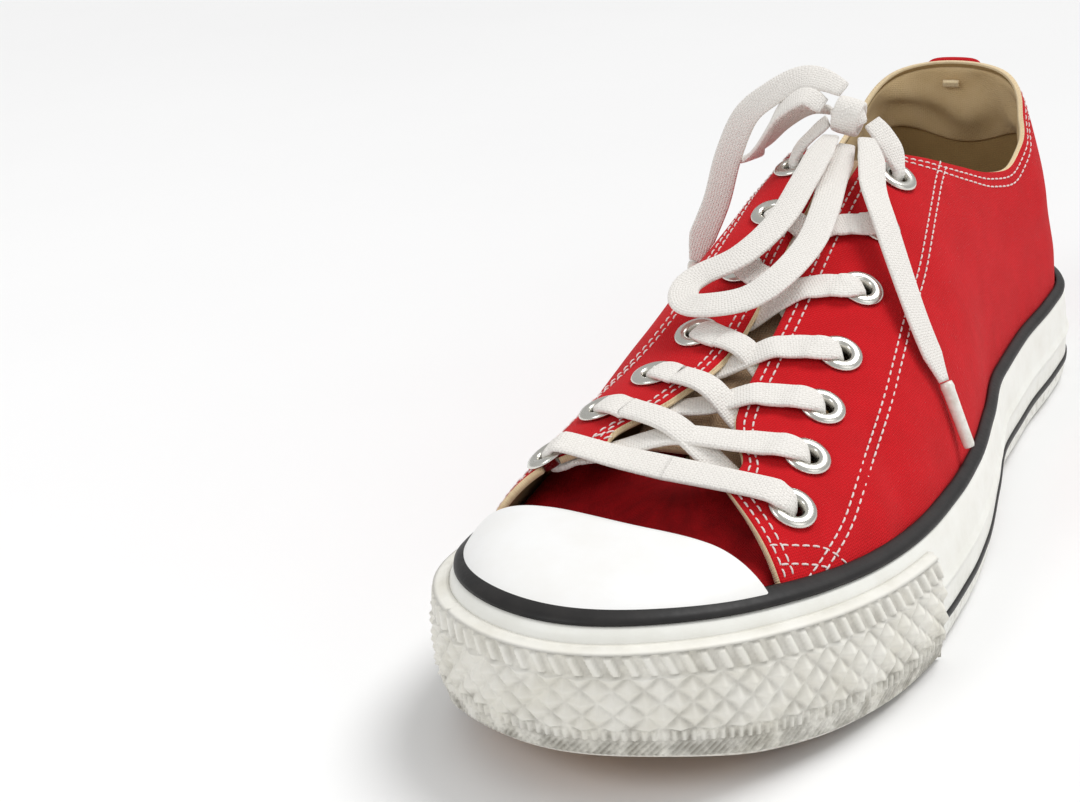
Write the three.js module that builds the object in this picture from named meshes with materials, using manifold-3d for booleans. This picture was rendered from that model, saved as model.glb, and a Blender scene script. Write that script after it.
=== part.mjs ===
// A low canvas sneaker, the left shoe of a pair, standing empty and laced.
// Millimetres, +Z up. The toe points along -Y and the outer (little toe) side faces +X.
// The origin is on the floor, under the middle of the shoe.
import * as THREE from "three";
import { mergeVertices } from "three/addons/utils/BufferGeometryUtils.js";
import Module from "manifold-3d";

const wasm = await Module();
wasm.setup();

// ---------------------------------------------------------------- driving dimensions

const CLEARANCE = 0.3; // between two pieces that touch in the real shoe
const TOE_Y = -147.7; // front of the side band
const HEEL_Y = 150; // back of the side band
const TOE_TIP_X = -8; // the toe points a little to the inner side
const TOE_ROUND_OUTER = 98; // length over which the outer side rounds into the toe
const TOE_ROUND_INNER = 50;
const HEEL_ROUND = 44;
const BAND = 3; // thickness of the white side band
const CANVAS = 1.8; // wall of the upper: two plies of canvas
const VAMP_UNDER = 1; // the vamp lies this far under the face of the quarters
const PLATFORM = 10; // thickness of the outsole
const INSOLE = 4;
const STRIPE_HEIGHT = 4.3;
const BUMPER = 2;
const CAP = 1.7;
const LACE = { width: 7.6, narrow: 4.2, thick: 1.5, core: 2.1 }; // narrow: where it is squeezed through an eyelet
const FAN_TOE_Y = -80; // meridians of the toe meet here
const FAN_HEEL_Y = 108; // meridians of the heel meet here
const FAN_BLEND = 30;
const UPPER_OUT = -(BAND + CLEARANCE); // outer face of the canvas, measured from the band's outline

// Plan of the side band: y, then x of the inner and of the outer side before the ends are rounded.
const PLAN = [
  { y: -150, inner: -51.7, outer: 52.1 },
  { y: -55, inner: -50.8, outer: 52.4 },
  { y: -38, inner: -49.4, outer: 52.6 },
  { y: -20, inner: -46, outer: 51.7 },
  { y: 10, inner: -38, outer: 47.5 },
  { y: 40, inner: -33.8, outer: 43 },
  { y: 68, inner: -34.2, outer: 42.6 },
  { y: 95, inner: -36.4, outer: 44 },
  { y: 118, inner: -37.2, outer: 44.4 },
  { y: 150, inner: -36.6, outer: 43 },
];

// Side view: underside of the sole, top of the side band, ridge of the upper and its fullness
// (the exponent of the cross-section: 2 is an ellipse, more is boxier).
const PROFILE = [
  { y: -150, under: 12, band: 43.6, ridge: 45.6, fullness: 5.2 },
  { y: -125, under: 5.6, band: 40.8, ridge: 46.4, fullness: 4.6 },
  { y: -105, under: 2, band: 37.6, ridge: 47.6, fullness: 3.6 },
  { y: -85, under: 0.2, band: 34.8, ridge: 52.6, fullness: 2.8 },
  { y: -60, under: 0, band: 32.6, ridge: 61, fullness: 2.3 },
  { y: -40, under: 0, band: 31.8, ridge: 68.4, fullness: 2.15 },
  { y: -20, under: 0.4, band: 31.4, ridge: 76, fullness: 2.1 },
  { y: 0, under: 1.4, band: 31.2, ridge: 83.4, fullness: 2.1 },
  { y: 20, under: 1.6, band: 31, ridge: 89.6, fullness: 2.15 },
  { y: 40, under: 1.2, band: 31, ridge: 93.6, fullness: 2.15 },
  { y: 62, under: 0.1, band: 31, ridge: 95.6, fullness: 2.15 },
  { y: 90, under: 0, band: 31, ridge: 98, fullness: 2.2 },
  { y: 120, under: 0, band: 31.6, ridge: 104, fullness: 2.5 },
  { y: 150, under: 0, band: 32.6, ridge: 112, fullness: 4.2 },
];

// How much fuller the inner side stands than the outer side.
const INNER_MORE = [
  { y: -125, fuller: 0 },
  { y: -80, fuller: 0.6 },
  { y: -30, fuller: 0.9 },
  { y: 10, fuller: 1.5 },
  { y: 50, fuller: 1.7 },
  { y: 80, fuller: 0.8 },
  { y: 115, fuller: 0 },
];

// The ridge line wanders a little to the inner side over the toes.
const RIDGE = [
  { y: -150, x: -6 },
  { y: -80, x: -3 },
  { y: -50, x: 0.6 },
  { y: -30, x: 1.4 },
  { y: 150, x: 1.4 },
];

// The opening: half width of the throat, and height of the topline behind it.
const OPENING = [
  { y: -80, throat: 18, topline: 130 },
  { y: -76, throat: 12, topline: 130 },
  { y: -70, throat: 8, topline: 130 },
  { y: -57, throat: 5, topline: 130 },
  { y: -42, throat: 3.8, topline: 130 },
  { y: 0, throat: 3.4, topline: 130 },
  { y: 22, throat: 3.6, topline: 110 },
  { y: 36, throat: 4, topline: 93.5 },
  { y: 48, throat: 4, topline: 88 },
  { y: 62, throat: 4, topline: 82 },
  { y: 78, throat: 4, topline: 76 },
  { y: 92, throat: 4, topline: 73.5 },
  { y: 108, throat: 4, topline: 77.5 },
  { y: 122, throat: 4, topline: 86 },
  { y: 136, throat: 4, topline: 93 },
  { y: 150, throat: 4, topline: 95.6 },
];

const QUARTER_FRONT_OUTER = -116; // the quarters start here, on the outer and inner side
const QUARTER_FRONT_INNER = -107;

// ---------------------------------------------------------------- small helpers

const clamp = (value, low, high) => Math.min(Math.max(value, low), high);
const mix = (a, b, share) => a + (b - a) * share;

// A smooth curve through one column of a table, with even slopes at each row.
function along(table, column, at, key = "y") {
  const last = table.length - 1;
  if (at <= table[0][key]) return table[0][column];
  if (at >= table[last][key]) return table[last][column];
  const row = table.findIndex((entry) => entry[key] > at) - 1;
  const span = (k) => table[k + 1][key] - table[k][key];
  const steep = (k) => (table[k + 1][column] - table[k][column]) / span(k);
  const slope = (k) => {
    if (k === 0 || k === last) return 0;
    const before = steep(k - 1);
    const after = steep(k);
    return before * after <= 0 ? 0 : (2 * before * after) / (before + after);
  };
  const width = span(row);
  const t = (at - table[row][key]) / width;
  const t2 = t * t;
  const t3 = t2 * t;
  return (
    (2 * t3 - 3 * t2 + 1) * table[row][column] +
    (t3 - 2 * t2 + t) * width * slope(row) +
    (3 * t2 - 2 * t3) * table[row + 1][column] +
    (t3 - t2) * width * slope(row + 1)
  );
}

const smoothMax = (a, b, blend) => {
  const near = Math.max(blend - Math.abs(a - b), 0) / blend;
  return Math.max(a, b) + (near * near * blend) / 4;
};
const smoothMin = (a, b, blend) => -smoothMax(-a, -b, blend);

// Where a rising test changes from negative to positive.
function crossing(test, low, high) {
  let [a, b] = [low, high];
  for (let step = 0; step < 40; step++) {
    const middle = (a + b) / 2;
    if (test(middle) < 0) a = middle;
    else b = middle;
  }
  return (a + b) / 2;
}

// ---------------------------------------------------------------- the last

// A turn of 0 is the toe tip, a half turn the heel; up to there it runs along the outer side.
const MIDDLE_Y = (TOE_Y + HEEL_Y) / 2;
const HALF_LENGTH = (HEEL_Y - TOE_Y) / 2;
const yOfTurn = (turn) => MIDDLE_Y - HALF_LENGTH * Math.cos(2 * Math.PI * turn);
const turnOf = (side, y) => {
  const share = Math.acos(clamp((MIDDLE_Y - y) / HALF_LENGTH, -1, 1)) / (2 * Math.PI);
  return side > 0 ? share : 1 - share;
};

function planPoint(turn) {
  const y = yOfTurn(turn);
  const outerSide = turn - Math.floor(turn) < 0.5;
  const toeRound = outerSide ? TOE_ROUND_OUTER : TOE_ROUND_INNER;
  const round = (distance, length) => Math.sqrt(1 - (1 - clamp(distance / length, 0, 1)) ** 2);
  const toe = round(y - TOE_Y, toeRound);
  const heel = round(HEEL_Y - y, HEEL_ROUND);
  const side = along(PLAN, outerSide ? "outer" : "inner", y);
  const tip = y < 0 ? TOE_TIP_X : 1;
  return new THREE.Vector2(mix(tip, side, toe * heel), y);
}

// The outline moved outwards by `out`, in plan.
function outline(turn, out) {
  const step = 1e-3;
  const ahead = planPoint(turn + step);
  const behind = planPoint(turn - step);
  const along2 = ahead.sub(behind).normalize();
  return planPoint(turn).add(new THREE.Vector2(along2.y, -along2.x).multiplyScalar(out));
}

const underside = (y) => along(PROFILE, "under", y);
const bandTop = (y) => along(PROFILE, "band", y);
const featherHeight = (y) => underside(y) + PLATFORM + CLEARANCE;
const spineY = (y) => smoothMin(smoothMax(y, FAN_TOE_Y, FAN_BLEND), FAN_HEEL_Y, FAN_BLEND);

// One point of the last: up a meridian from the feather line (rise 0) to the ridge (rise 1).
// `out` is the distance outside the canvas; `sink` lowers the ridge.
function lastPoint(turn, rise, out, sink = 0) {
  const foot = outline(turn, UPPER_OUT + out);
  const station = yOfTurn(turn);
  const ridgeY = spineY(station);
  const ridgeX = along(RIDGE, "x", ridgeY);
  const innerSide = turn - Math.floor(turn) >= 0.5;
  const fullness = along(PROFILE, "fullness", station) + (innerSide ? along(INNER_MORE, "fuller", station) : 0);
  const angle = clamp(rise, 0, 1) * (Math.PI / 2);
  const inward = 1 - Math.cos(angle) ** (2 / fullness);
  const upward = Math.sin(angle) ** (2 / fullness);
  const x = mix(foot.x, ridgeX, inward);
  const y = mix(foot.y, ridgeY, inward);
  const base = featherHeight(station);
  const top = along(PROFILE, "ridge", y) + out - sink;
  return new THREE.Vector3(x, y, base + (top - base) * upward);
}

// The rise at which a meridian reaches a height.
const riseAt = (turn, height, out) =>
  crossing((rise) => lastPoint(turn, rise, out).z - height, 0, 1);

// A point of the wall at a height, also below the feather line.
function wallPoint(turn, height, out) {
  const station = yOfTurn(turn);
  if (height > featherHeight(station)) return lastPoint(turn, riseAt(turn, height, out), out);
  const foot = outline(turn, UPPER_OUT + out);
  return new THREE.Vector3(foot.x, foot.y, height);
}

// The rise at which a meridian meets the throat or the topline, with a round corner between them.
function openingRise(turn) {
  const station = yOfTurn(turn);
  const ridgeY = spineY(station);
  const ridge = new THREE.Vector2(along(RIDGE, "x", ridgeY), ridgeY);
  const throat = along(OPENING, "throat", ridgeY);
  return crossing(
    (rise) => {
      const point = lastPoint(turn, rise, 0);
      const fromRidge = Math.hypot(point.x - ridge.x, point.y - ridge.y);
      const belowTop = along(OPENING, "topline", point.y) - point.z;
      return -smoothMin(fromRidge - throat, belowTop, 8);
    },
    0,
    1,
  );
}

// ---------------------------------------------------------------- solids from points

function geometryFrom(points, triangles) {
  const geometry = new THREE.BufferGeometry();
  const flat = points.flatMap((p) => [p.x, p.y, p.z]);
  geometry.setAttribute("position", new THREE.Float32BufferAttribute(flat, 3));
  geometry.setIndex(triangles);
  return geometry;
}

// A closed skin from loops of equal length: each loop is joined to the next, the last to the first.
function tubeFromLoops(loops) {
  const count = loops[0].length;
  const triangles = [];
  loops.forEach((_, row) => {
    const next = (row + 1) % loops.length;
    for (let i = 0; i < count; i++) {
      const j = (i + 1) % count;
      const [a, b, c, d] = [row * count + i, row * count + j, next * count + j, next * count + i];
      triangles.push(a, b, c, a, c, d);
    }
  });
  return geometryFrom(loops.flat(), triangles);
}

// A sheet with thickness, from two grids of rows (an outer and an inner face of the same size).
function sheetFromGrids(outer, inner) {
  const rows = outer.length;
  const columns = outer[0].length;
  const half = rows * columns;
  const at = (r, c) => r * columns + c;
  const triangles = [];
  const quad = (a, b, c, d) => triangles.push(a, b, c, a, c, d);
  for (let r = 0; r + 1 < rows; r++) {
    for (let c = 0; c + 1 < columns; c++) {
      quad(at(r, c), at(r + 1, c), at(r + 1, c + 1), at(r, c + 1));
      quad(half + at(r, c), half + at(r, c + 1), half + at(r + 1, c + 1), half + at(r + 1, c));
    }
  }
  const rim = [];
  for (let c = 0; c + 1 < columns; c++) rim.push(at(0, c));
  for (let r = 0; r + 1 < rows; r++) rim.push(at(r, columns - 1));
  for (let c = columns - 1; c > 0; c--) rim.push(at(rows - 1, c));
  for (let r = rows - 1; r > 0; r--) rim.push(at(r, 0));
  rim.forEach((a, i) => {
    const b = rim[(i + 1) % rim.length];
    quad(a, b, half + b, half + a);
  });
  return geometryFrom([...outer.flat(), ...inner.flat()], triangles);
}

// A plate with the shoe's outline: ladder-like faces above and below, and a wall round them.
function plate(out, bottomOf, topOf, count) {
  const turns = Array.from({ length: count }, (_, i) => i / count);
  const feet = turns.map((turn) => outline(turn, out));
  const level = (heightOf) => feet.map((p) => new THREE.Vector3(p.x, p.y, heightOf(p.y)));
  const points = [...level(bottomOf), ...level(topOf)];
  const triangles = [];
  for (let i = 0; i < count; i++) {
    const j = (i + 1) % count;
    triangles.push(i, j, count + j, i, count + j, count + i);
  }
  for (let i = 0; i < count / 2; i++) {
    const [a, b] = [i, i + 1];
    const [c, d] = [(count - i - 1) % count, (count - i) % count];
    if (b !== c) triangles.push(a, c, b, count + a, count + b, count + c);
    if (d !== a) triangles.push(a, d, c, count + a, count + c, count + d);
  }
  return geometryFrom(points, triangles);
}

// A flat lace swept along a route. Each stop has a place, the way its flat side faces, and its width.
function ribbon(stops) {
  const sides = stops.map(({ at, face, width }, i) => {
    const before = stops[Math.max(i - 1, 0)].at;
    const after = stops[Math.min(i + 1, stops.length - 1)].at;
    const forward = after.clone().sub(before).normalize();
    const wide = face.clone().cross(forward).normalize();
    const thick = forward.clone().cross(wide);
    const corner = (u, v) =>
      at.clone().addScaledVector(wide, (u * width) / 2).addScaledVector(thick, (v * LACE.thick) / 2);
    return [corner(-1, -1), corner(1, -1), corner(1, 1), corner(-1, 1)];
  });
  const triangles = [];
  const last = (sides.length - 1) * 4;
  for (let row = 0; row + 1 < sides.length; row++) {
    for (let i = 0; i < 4; i++) {
      const j = (i + 1) % 4;
      const [a, b, c, d] = [row * 4 + i, row * 4 + j, row * 4 + 4 + j, row * 4 + 4 + i];
      triangles.push(a, b, c, a, c, d);
    }
  }
  triangles.push(0, 2, 1, 0, 3, 2, last, last + 1, last + 2, last, last + 2, last + 3);
  return geometryFrom(sides.flat(), triangles);
}

// ---------------------------------------------------------------- cutting and joining

function solidOf(geometry) {
  const bare = geometry.clone();
  bare.deleteAttribute("normal");
  bare.deleteAttribute("uv");
  const merged = mergeVertices(bare, 1e-4);
  return new wasm.Manifold(
    new wasm.Mesh({
      numProp: 3,
      vertProperties: new Float32Array(merged.attributes.position.array),
      triVerts: new Uint32Array(merged.index.array),
    }),
  );
}

function geometryOf(solid) {
  const mesh = solid.getMesh();
  const geometry = new THREE.BufferGeometry();
  geometry.setAttribute("position", new THREE.BufferAttribute(mesh.vertProperties.slice(), 3));
  geometry.setIndex(new THREE.BufferAttribute(mesh.triVerts.slice(), 1));
  return geometry;
}

const shoe = new THREE.Group();

function add(name, geometry, colour, roughness, metalness = 0) {
  geometry.computeVertexNormals();
  const material = new THREE.MeshStandardMaterial({ color: colour, roughness, metalness });
  const mesh = new THREE.Mesh(geometry, material);
  mesh.name = name;
  shoe.add(mesh);
  return mesh;
}

// ---------------------------------------------------------------- sole

const RUBBER_WHITE = "#e9e8dc";
const RUBBER_BLACK = "#2b2a28";
const GUM = "#b98a5a";
const CANVAS_RED = "#c8202a";
const COTTON_WHITE = "#f4f0e8";
const NATURAL = "#b39b72";
const METAL = "#c9c9c9";

const AROUND = 76; // points round the sole

// Straight grooves across the tread leave the main lugs between them.
const GROOVE = { width: 3, depth: 1.8, length: 62, pitch: 13 };
const TREAD_FIELDS = [
  { from: -112, to: -25, x: -1 },
  { from: 66, to: 132, x: 1 },
];

function outsole() {
  const body = plate(UPPER_OUT, underside, (y) => underside(y) + PLATFORM, AROUND);
  let solid = solidOf(body);
  for (const field of TREAD_FIELDS) {
    const narrow = field.from > 0 ? 0.72 : 1;
    for (let y = field.from; y <= field.to; y += GROOVE.pitch) {
      const cutter = new THREE.BoxGeometry(GROOVE.length * narrow, GROOVE.width, GROOVE.depth * 2);
      cutter.translate(field.x, y, underside(y));
      solid = solid.subtract(solidOf(cutter));
    }
  }
  return geometryOf(solid);
}
add("outsole", outsole(), GUM, 0.7);

add(
  "insole",
  plate(
    UPPER_OUT - CANVAS - VAMP_UNDER - 2 * CLEARANCE,
    (y) => underside(y) + PLATFORM + CLEARANCE,
    (y) => underside(y) + PLATFORM + CLEARANCE + INSOLE,
    AROUND,
  ),
  NATURAL,
  0.9,
);

// Cross-section of the side band: share of its height, and distance out from the canvas.
const BAND_SECTION = [
  { share: 0.03, out: CLEARANCE },
  { share: 0.03, out: 2 },
  { share: 0.16, out: 3.1 },
  { share: 0.5, out: 3.4 },
  { share: 1, out: 2.7 },
  { share: 1, out: CLEARANCE },
  { share: 0.72, out: CLEARANCE },
  { share: 0.4, out: CLEARANCE },
];

// A loop round the shoe at a share of the band's height.
function bandLoop(share, out, lowerBy = 0, raiseBy = 0) {
  return Array.from({ length: AROUND }, (_, i) => {
    const turn = i / AROUND;
    const y = yOfTurn(turn);
    const height = mix(underside(y), bandTop(y) - lowerBy, share) + raiseBy;
    return wallPoint(turn, height, out);
  });
}

const STRIPE_FOOT = STRIPE_HEIGHT + CLEARANCE;
add(
  "foxing",
  tubeFromLoops(BAND_SECTION.map(({ share, out }) => bandLoop(share, out, STRIPE_FOOT))),
  RUBBER_WHITE,
  0.5,
);

const STRIPE_SECTION = [
  { down: STRIPE_HEIGHT, out: CLEARANCE + 0.1 },
  { down: STRIPE_HEIGHT, out: 2.8 },
  { down: 1, out: 2.3 },
  { down: 0, out: 1.2 },
  { down: 0, out: CLEARANCE + 0.1 },
];
add(
  "stripe_top",
  tubeFromLoops(STRIPE_SECTION.map(({ down, out }) => bandLoop(1, out, down))),
  RUBBER_BLACK,
  0.5,
);

// The toe bumper: a thick strip outside the band, from the ball on one side to the other.
const BUMPER_ENDS = { outer: -67, inner: -64 };
const BUMPER_SECTION = [
  { share: 0.05, out: 2.2 },
  { share: 0.24, out: 3.4 },
  { share: 0.55, out: 3.5 },
  { share: 0.86, out: 3.3 },
];

function strip(from, to, steps, section, thick, heightOf) {
  const face = (extra) =>
    Array.from({ length: steps + 1 }, (_, i) => {
      const turn = mix(from, to, i / steps);
      const y = yOfTurn(turn);
      return section.map(({ share, out }) => wallPoint(turn, heightOf(y, share), out + extra));
    });
  return sheetFromGrids(face(thick), face(0));
}

add(
  "toe_bumper",
  strip(
    turnOf(-1, BUMPER_ENDS.inner) - 1,
    turnOf(1, BUMPER_ENDS.outer),
    34,
    BUMPER_SECTION.map(({ share, out }) => ({ share, out: out + CLEARANCE })),
    BUMPER,
    (y, share) => mix(underside(y), bandTop(y) - STRIPE_HEIGHT, share),
  ),
  RUBBER_WHITE,
  0.6,
);

// ---------------------------------------------------------------- upper

const quarterFrom = turnOf(1, QUARTER_FRONT_OUTER);
const quarterTo = turnOf(-1, QUARTER_FRONT_INNER);
const QUARTER_STEPS = 62;
const QUARTER_ROWS = 7;
const GIRTH = 60; // length of a meridian, roughly
const VAMP_ENDS = { outer: -84, inner: -78 };
const VAMP_STEPS = 30;
const VAMP_ROWS = 6;
const VAMP_THROAT = 5;
const VAMP_SINK = 5; // the loose vamp hangs lower behind the toe cap

// The canvas beside the throat stands off the foot near the toe, most on the inner side.
const QUARTER_LIFT = { inner: 6, outer: 2, fullY: -88, noneY: -40 };

function quarterPoint(turn, rise, out) {
  const point = lastPoint(turn, rise, out);
  const most = turn - Math.floor(turn) < 0.5 ? QUARTER_LIFT.outer : QUARTER_LIFT.inner;
  const near = clamp((QUARTER_LIFT.noneY - point.y) / (QUARTER_LIFT.noneY - QUARTER_LIFT.fullY), 0, 1);
  const up = clamp((rise - 0.2) / 0.6, 0, 1);
  point.z += most * near * near * (3 - 2 * near) * up * up * (3 - 2 * up);
  return point;
}

// `grow` thickens the sheet all over, to cut room for its neighbours.
function quarters(grow = 0) {
  const face = (out) =>
    Array.from({ length: QUARTER_STEPS + 1 }, (_, i) => {
      const turn = mix(quarterFrom, quarterTo, i / QUARTER_STEPS);
      const edge = openingRise(turn) + grow / GIRTH;
      return Array.from({ length: QUARTER_ROWS + 1 }, (_, j) =>
        quarterPoint(turn, (edge * j) / QUARTER_ROWS, out),
      );
    });
  return sheetFromGrids(face(grow), face(-CANVAS - grow));
}

// How far the vamp hangs under the last: nothing at the toe, most at the throat.
const vampSink = (rise) => VAMP_SINK * clamp((rise - 0.35) / 0.4, 0, 1) ** 2;

function vamp(grow = 0) {
  const from = turnOf(-1, VAMP_ENDS.inner) - 1;
  const to = turnOf(1, VAMP_ENDS.outer);
  const face = (out) =>
    Array.from({ length: VAMP_STEPS + 1 }, (_, i) => {
      const turn = mix(from, to, i / VAMP_STEPS);
      const ridgeY = spineY(yOfTurn(turn));
      const ridgeX = along(RIDGE, "x", ridgeY);
      const edge = crossing(
        (rise) => {
          const point = lastPoint(turn, rise, 0);
          return VAMP_THROAT - Math.hypot(point.x - ridgeX, point.y - ridgeY);
        },
        0,
        1,
      );
      return Array.from({ length: VAMP_ROWS + 1 }, (_, j) => {
        const rise = (edge * j) / VAMP_ROWS;
        return lastPoint(turn, rise, out, vampSink(rise));
      });
    });
  return sheetFromGrids(face(grow - VAMP_UNDER), face(-VAMP_UNDER - CANVAS - grow));
}

// ---------------------------------------------------------------- eyelets

// Place of each pair of lace eyelets seen from above; the top pair comes first.
const EYELETS = [
  { outerX: 15.2, outerY: 29, innerX: -12.4, innerY: 26 },
  { outerX: 17.4, outerY: 5.5, innerX: -10.8, innerY: 3 },
  { outerX: 19.6, outerY: -18, innerX: -11.4, innerY: -19 },
  { outerX: 21.2, outerY: -41, innerX: -14.8, innerY: -42.6 },
  { outerX: 22.8, outerY: -59.6, innerX: -19, innerY: -60.4 },
  { outerX: 24.8, outerY: -77, innerX: -26, innerY: -76 },
  { outerX: 27, outerY: -93.6, innerX: -32, innerY: -93 },
];
const VENTS = [
  { y: -30, height: 43 },
  { y: 2, height: 43 },
];
const EYELET = { flange: 5.6, barrel: 3.2, bore: 2.6, thick: 0.9, sides: 10 };

// The place and the outward normal of the quarters at a turn and a rise.
function seatOf(turn, rise) {
  const step = 2e-3;
  const around = quarterPoint(turn + step, rise, 0).sub(quarterPoint(turn - step, rise, 0));
  const up = quarterPoint(turn, rise + step, 0).sub(quarterPoint(turn, rise - step, 0));
  return { place: quarterPoint(turn, rise, 0), normal: around.cross(up).normalize() };
}

// The same for a point seen from above. Seen so, every meridian is a straight line to the ridge.
function seatAt(x, y) {
  const ridgeOf = (turn) => {
    const ridgeY = spineY(yOfTurn(turn));
    return new THREE.Vector2(along(RIDGE, "x", ridgeY), ridgeY);
  };
  const side = x > along(RIDGE, "x", y) ? 1 : -1;
  const beside = (turn) => {
    const ridge = ridgeOf(turn);
    const foot = outline(turn, UPPER_OUT);
    return (foot.x - ridge.x) * (y - ridge.y) - (foot.y - ridge.y) * (x - ridge.x);
  };
  const low = side > 0 ? 0.02 : 0.52;
  const turn = crossing((value) => -beside(value), low, low + 0.46);
  const ridge = ridgeOf(turn);
  const reach = Math.hypot(x - ridge.x, y - ridge.y);
  const distance = (rise) => {
    const point = lastPoint(turn, rise, 0);
    return Math.hypot(point.x - ridge.x, point.y - ridge.y);
  };
  return seatOf(turn, crossing((rise) => reach - distance(rise), 0, 1));
}

const laceSeats = EYELETS.map(({ outerX, outerY, innerX, innerY }) => ({
  outer: seatAt(outerX, outerY),
  inner: seatAt(innerX, innerY),
}));
const ventSeats = VENTS.map(({ y, height }) => {
  const turn = turnOf(-1, y);
  return seatOf(turn, riseAt(turn, height, 0));
});

const upright = new THREE.Vector3(0, 1, 0);

function eyelet(seat, grow = 0) {
  const { flange, barrel, bore, thick, sides } = EYELET;
  const depth = CANVAS + CLEARANCE + grow;
  const top = CLEARANCE + thick + grow;
  const profile = [
    [bore - grow, -depth],
    [barrel + grow, -depth],
    [barrel + grow, CLEARANCE - grow],
    [flange + grow, CLEARANCE - grow],
    [flange - 0.8 + grow, top],
    [bore + 0.6, top],
    [bore - grow, -depth],
  ].map(([r, h]) => new THREE.Vector2(r, h));
  const geometry = new THREE.LatheGeometry(profile, sides);
  geometry.applyQuaternion(new THREE.Quaternion().setFromUnitVectors(upright, seat.normal));
  geometry.translate(seat.place.x, seat.place.y, seat.place.z);
  return solidOf(geometry);
}

// A round rod square to the canvas at an eyelet.
function rodAt(seat, radius, length) {
  const geometry = new THREE.CylinderGeometry(radius, radius, length, 10);
  geometry.applyQuaternion(new THREE.Quaternion().setFromUnitVectors(upright, seat.normal));
  geometry.translate(seat.place.x, seat.place.y, seat.place.z);
  return solidOf(geometry);
}

let upperSolid = solidOf(quarters()).add(solidOf(vamp()));
for (const seat of [...laceSeats.flatMap((pair) => [pair.outer, pair.inner]), ...ventSeats]) {
  upperSolid = upperSolid.subtract(rodAt(seat, EYELET.barrel + CLEARANCE + 0.1, 4 * CANVAS));
}
// Slivers of air caught between vamp and quarters are filled: the upper is the largest body.
const upperBody = upperSolid.decompose().sort((a, b) => b.volume() - a.volume())[0];
add("upper", geometryOf(upperBody), CANVAS_RED, 0.9);

laceSeats.forEach((pair, i) => {
  add(`eyelet_outer_${i + 1}`, geometryOf(eyelet(pair.outer)), METAL, 0.3, 1);
  add(`eyelet_inner_${i + 1}`, geometryOf(eyelet(pair.inner)), METAL, 0.3, 1);
});
ventSeats.forEach((seat, i) => add(`vent_eyelet_${i + 1}`, geometryOf(eyelet(seat)), METAL, 0.3, 1));

// ---------------------------------------------------------------- toe cap, heel strip and tongue

// Rear edge of the toe cap, seen from above.
const CAP_EDGE = [
  { x: -46, y: -106 },
  { x: -25, y: -107.4 },
  { x: -4, y: -110.4 },
  { x: 15, y: -112.6 },
  { x: 34, y: -117 },
];
const CAP_ENDS = { outer: -117, inner: -108 };
const CAP_STEPS = 26;
const CAP_ROWS = 5;

function toeCap() {
  const from = turnOf(-1, CAP_ENDS.inner) - 1;
  const to = turnOf(1, CAP_ENDS.outer);
  const face = (out) =>
    Array.from({ length: CAP_STEPS + 1 }, (_, i) => {
      const turn = mix(from, to, i / CAP_STEPS);
      const low = riseAt(turn, bandTop(yOfTurn(turn)) + CLEARANCE, out);
      const behindEdge = (rise) => {
        const point = lastPoint(turn, rise, out);
        return point.y - along(CAP_EDGE, "y", point.x, "x");
      };
      const high = Math.max(crossing(behindEdge, low, 1), low + 0.06);
      return Array.from({ length: CAP_ROWS + 1 }, (_, j) =>
        lastPoint(turn, mix(low, high, j / CAP_ROWS), out),
      );
    });
  return sheetFromGrids(face(CLEARANCE + CAP), face(CLEARANCE));
}
add("toe_cap", toeCap(), RUBBER_WHITE, 0.45);

const HEEL_STRIP = { halfTurn: 0.0236, thick: 1.4, steps: 6, rows: 6 };

function heelStrip() {
  const { halfTurn, thick, steps, rows } = HEEL_STRIP;
  const face = (out) =>
    Array.from({ length: steps + 1 }, (_, i) => {
      const turn = mix(0.5 - halfTurn, 0.5 + halfTurn, i / steps);
      const low = riseAt(turn, bandTop(yOfTurn(turn)) + CLEARANCE, out);
      return Array.from({ length: rows + 1 }, (_, j) =>
        lastPoint(turn, mix(low, openingRise(turn), j / rows), out),
      );
    });
  return sheetFromGrids(face(CLEARANCE + thick), face(CLEARANCE));
}
add("heel_strip", heelStrip(), CANVAS_RED, 0.9);

// The tongue lies under the throat, below the laces.
const TONGUE = { frontY: -76, backY: 40, depth: 5, thick: 1.8, steps: 12, across: 8 };
const TONGUE_WIDTH = [
  { y: -76, half: 12 },
  { y: -50, half: 22 },
  { y: -10, half: 25 },
  { y: 40, half: 24 },
];

function tongue(grow = 0) {
  const { frontY, backY, depth, thick, steps, across } = TONGUE;
  const face = (out) =>
    Array.from({ length: across + 1 }, (_, i) =>
      Array.from({ length: steps + 1 }, (_, j) => {
        const y = mix(frontY, backY, j / steps);
        const half = along(TONGUE_WIDTH, "half", y);
        const middle = along(RIDGE, "x", y);
        const side = mix(-half, half, i / across);
        const { place, normal } = seatAt(middle + side + 1e-3, y);
        return place.addScaledVector(normal, out);
      }),
    );
  return sheetFromGrids(face(grow - depth), face(-depth - thick - grow));
}
add("tongue", tongue(), NATURAL, 0.9);

// ---------------------------------------------------------------- laces

const UNDER = -(CANVAS + CLEARANCE + LACE.thick / 2 + 0.1); // depth of a lace under the canvas
const OVER = CLEARANCE + LACE.thick / 2 + 0.1;
const OVER_EYELET = OVER + EYELET.thick + CLEARANCE;
const OPPOSITE = { outer: "inner", inner: "outer" };

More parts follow.
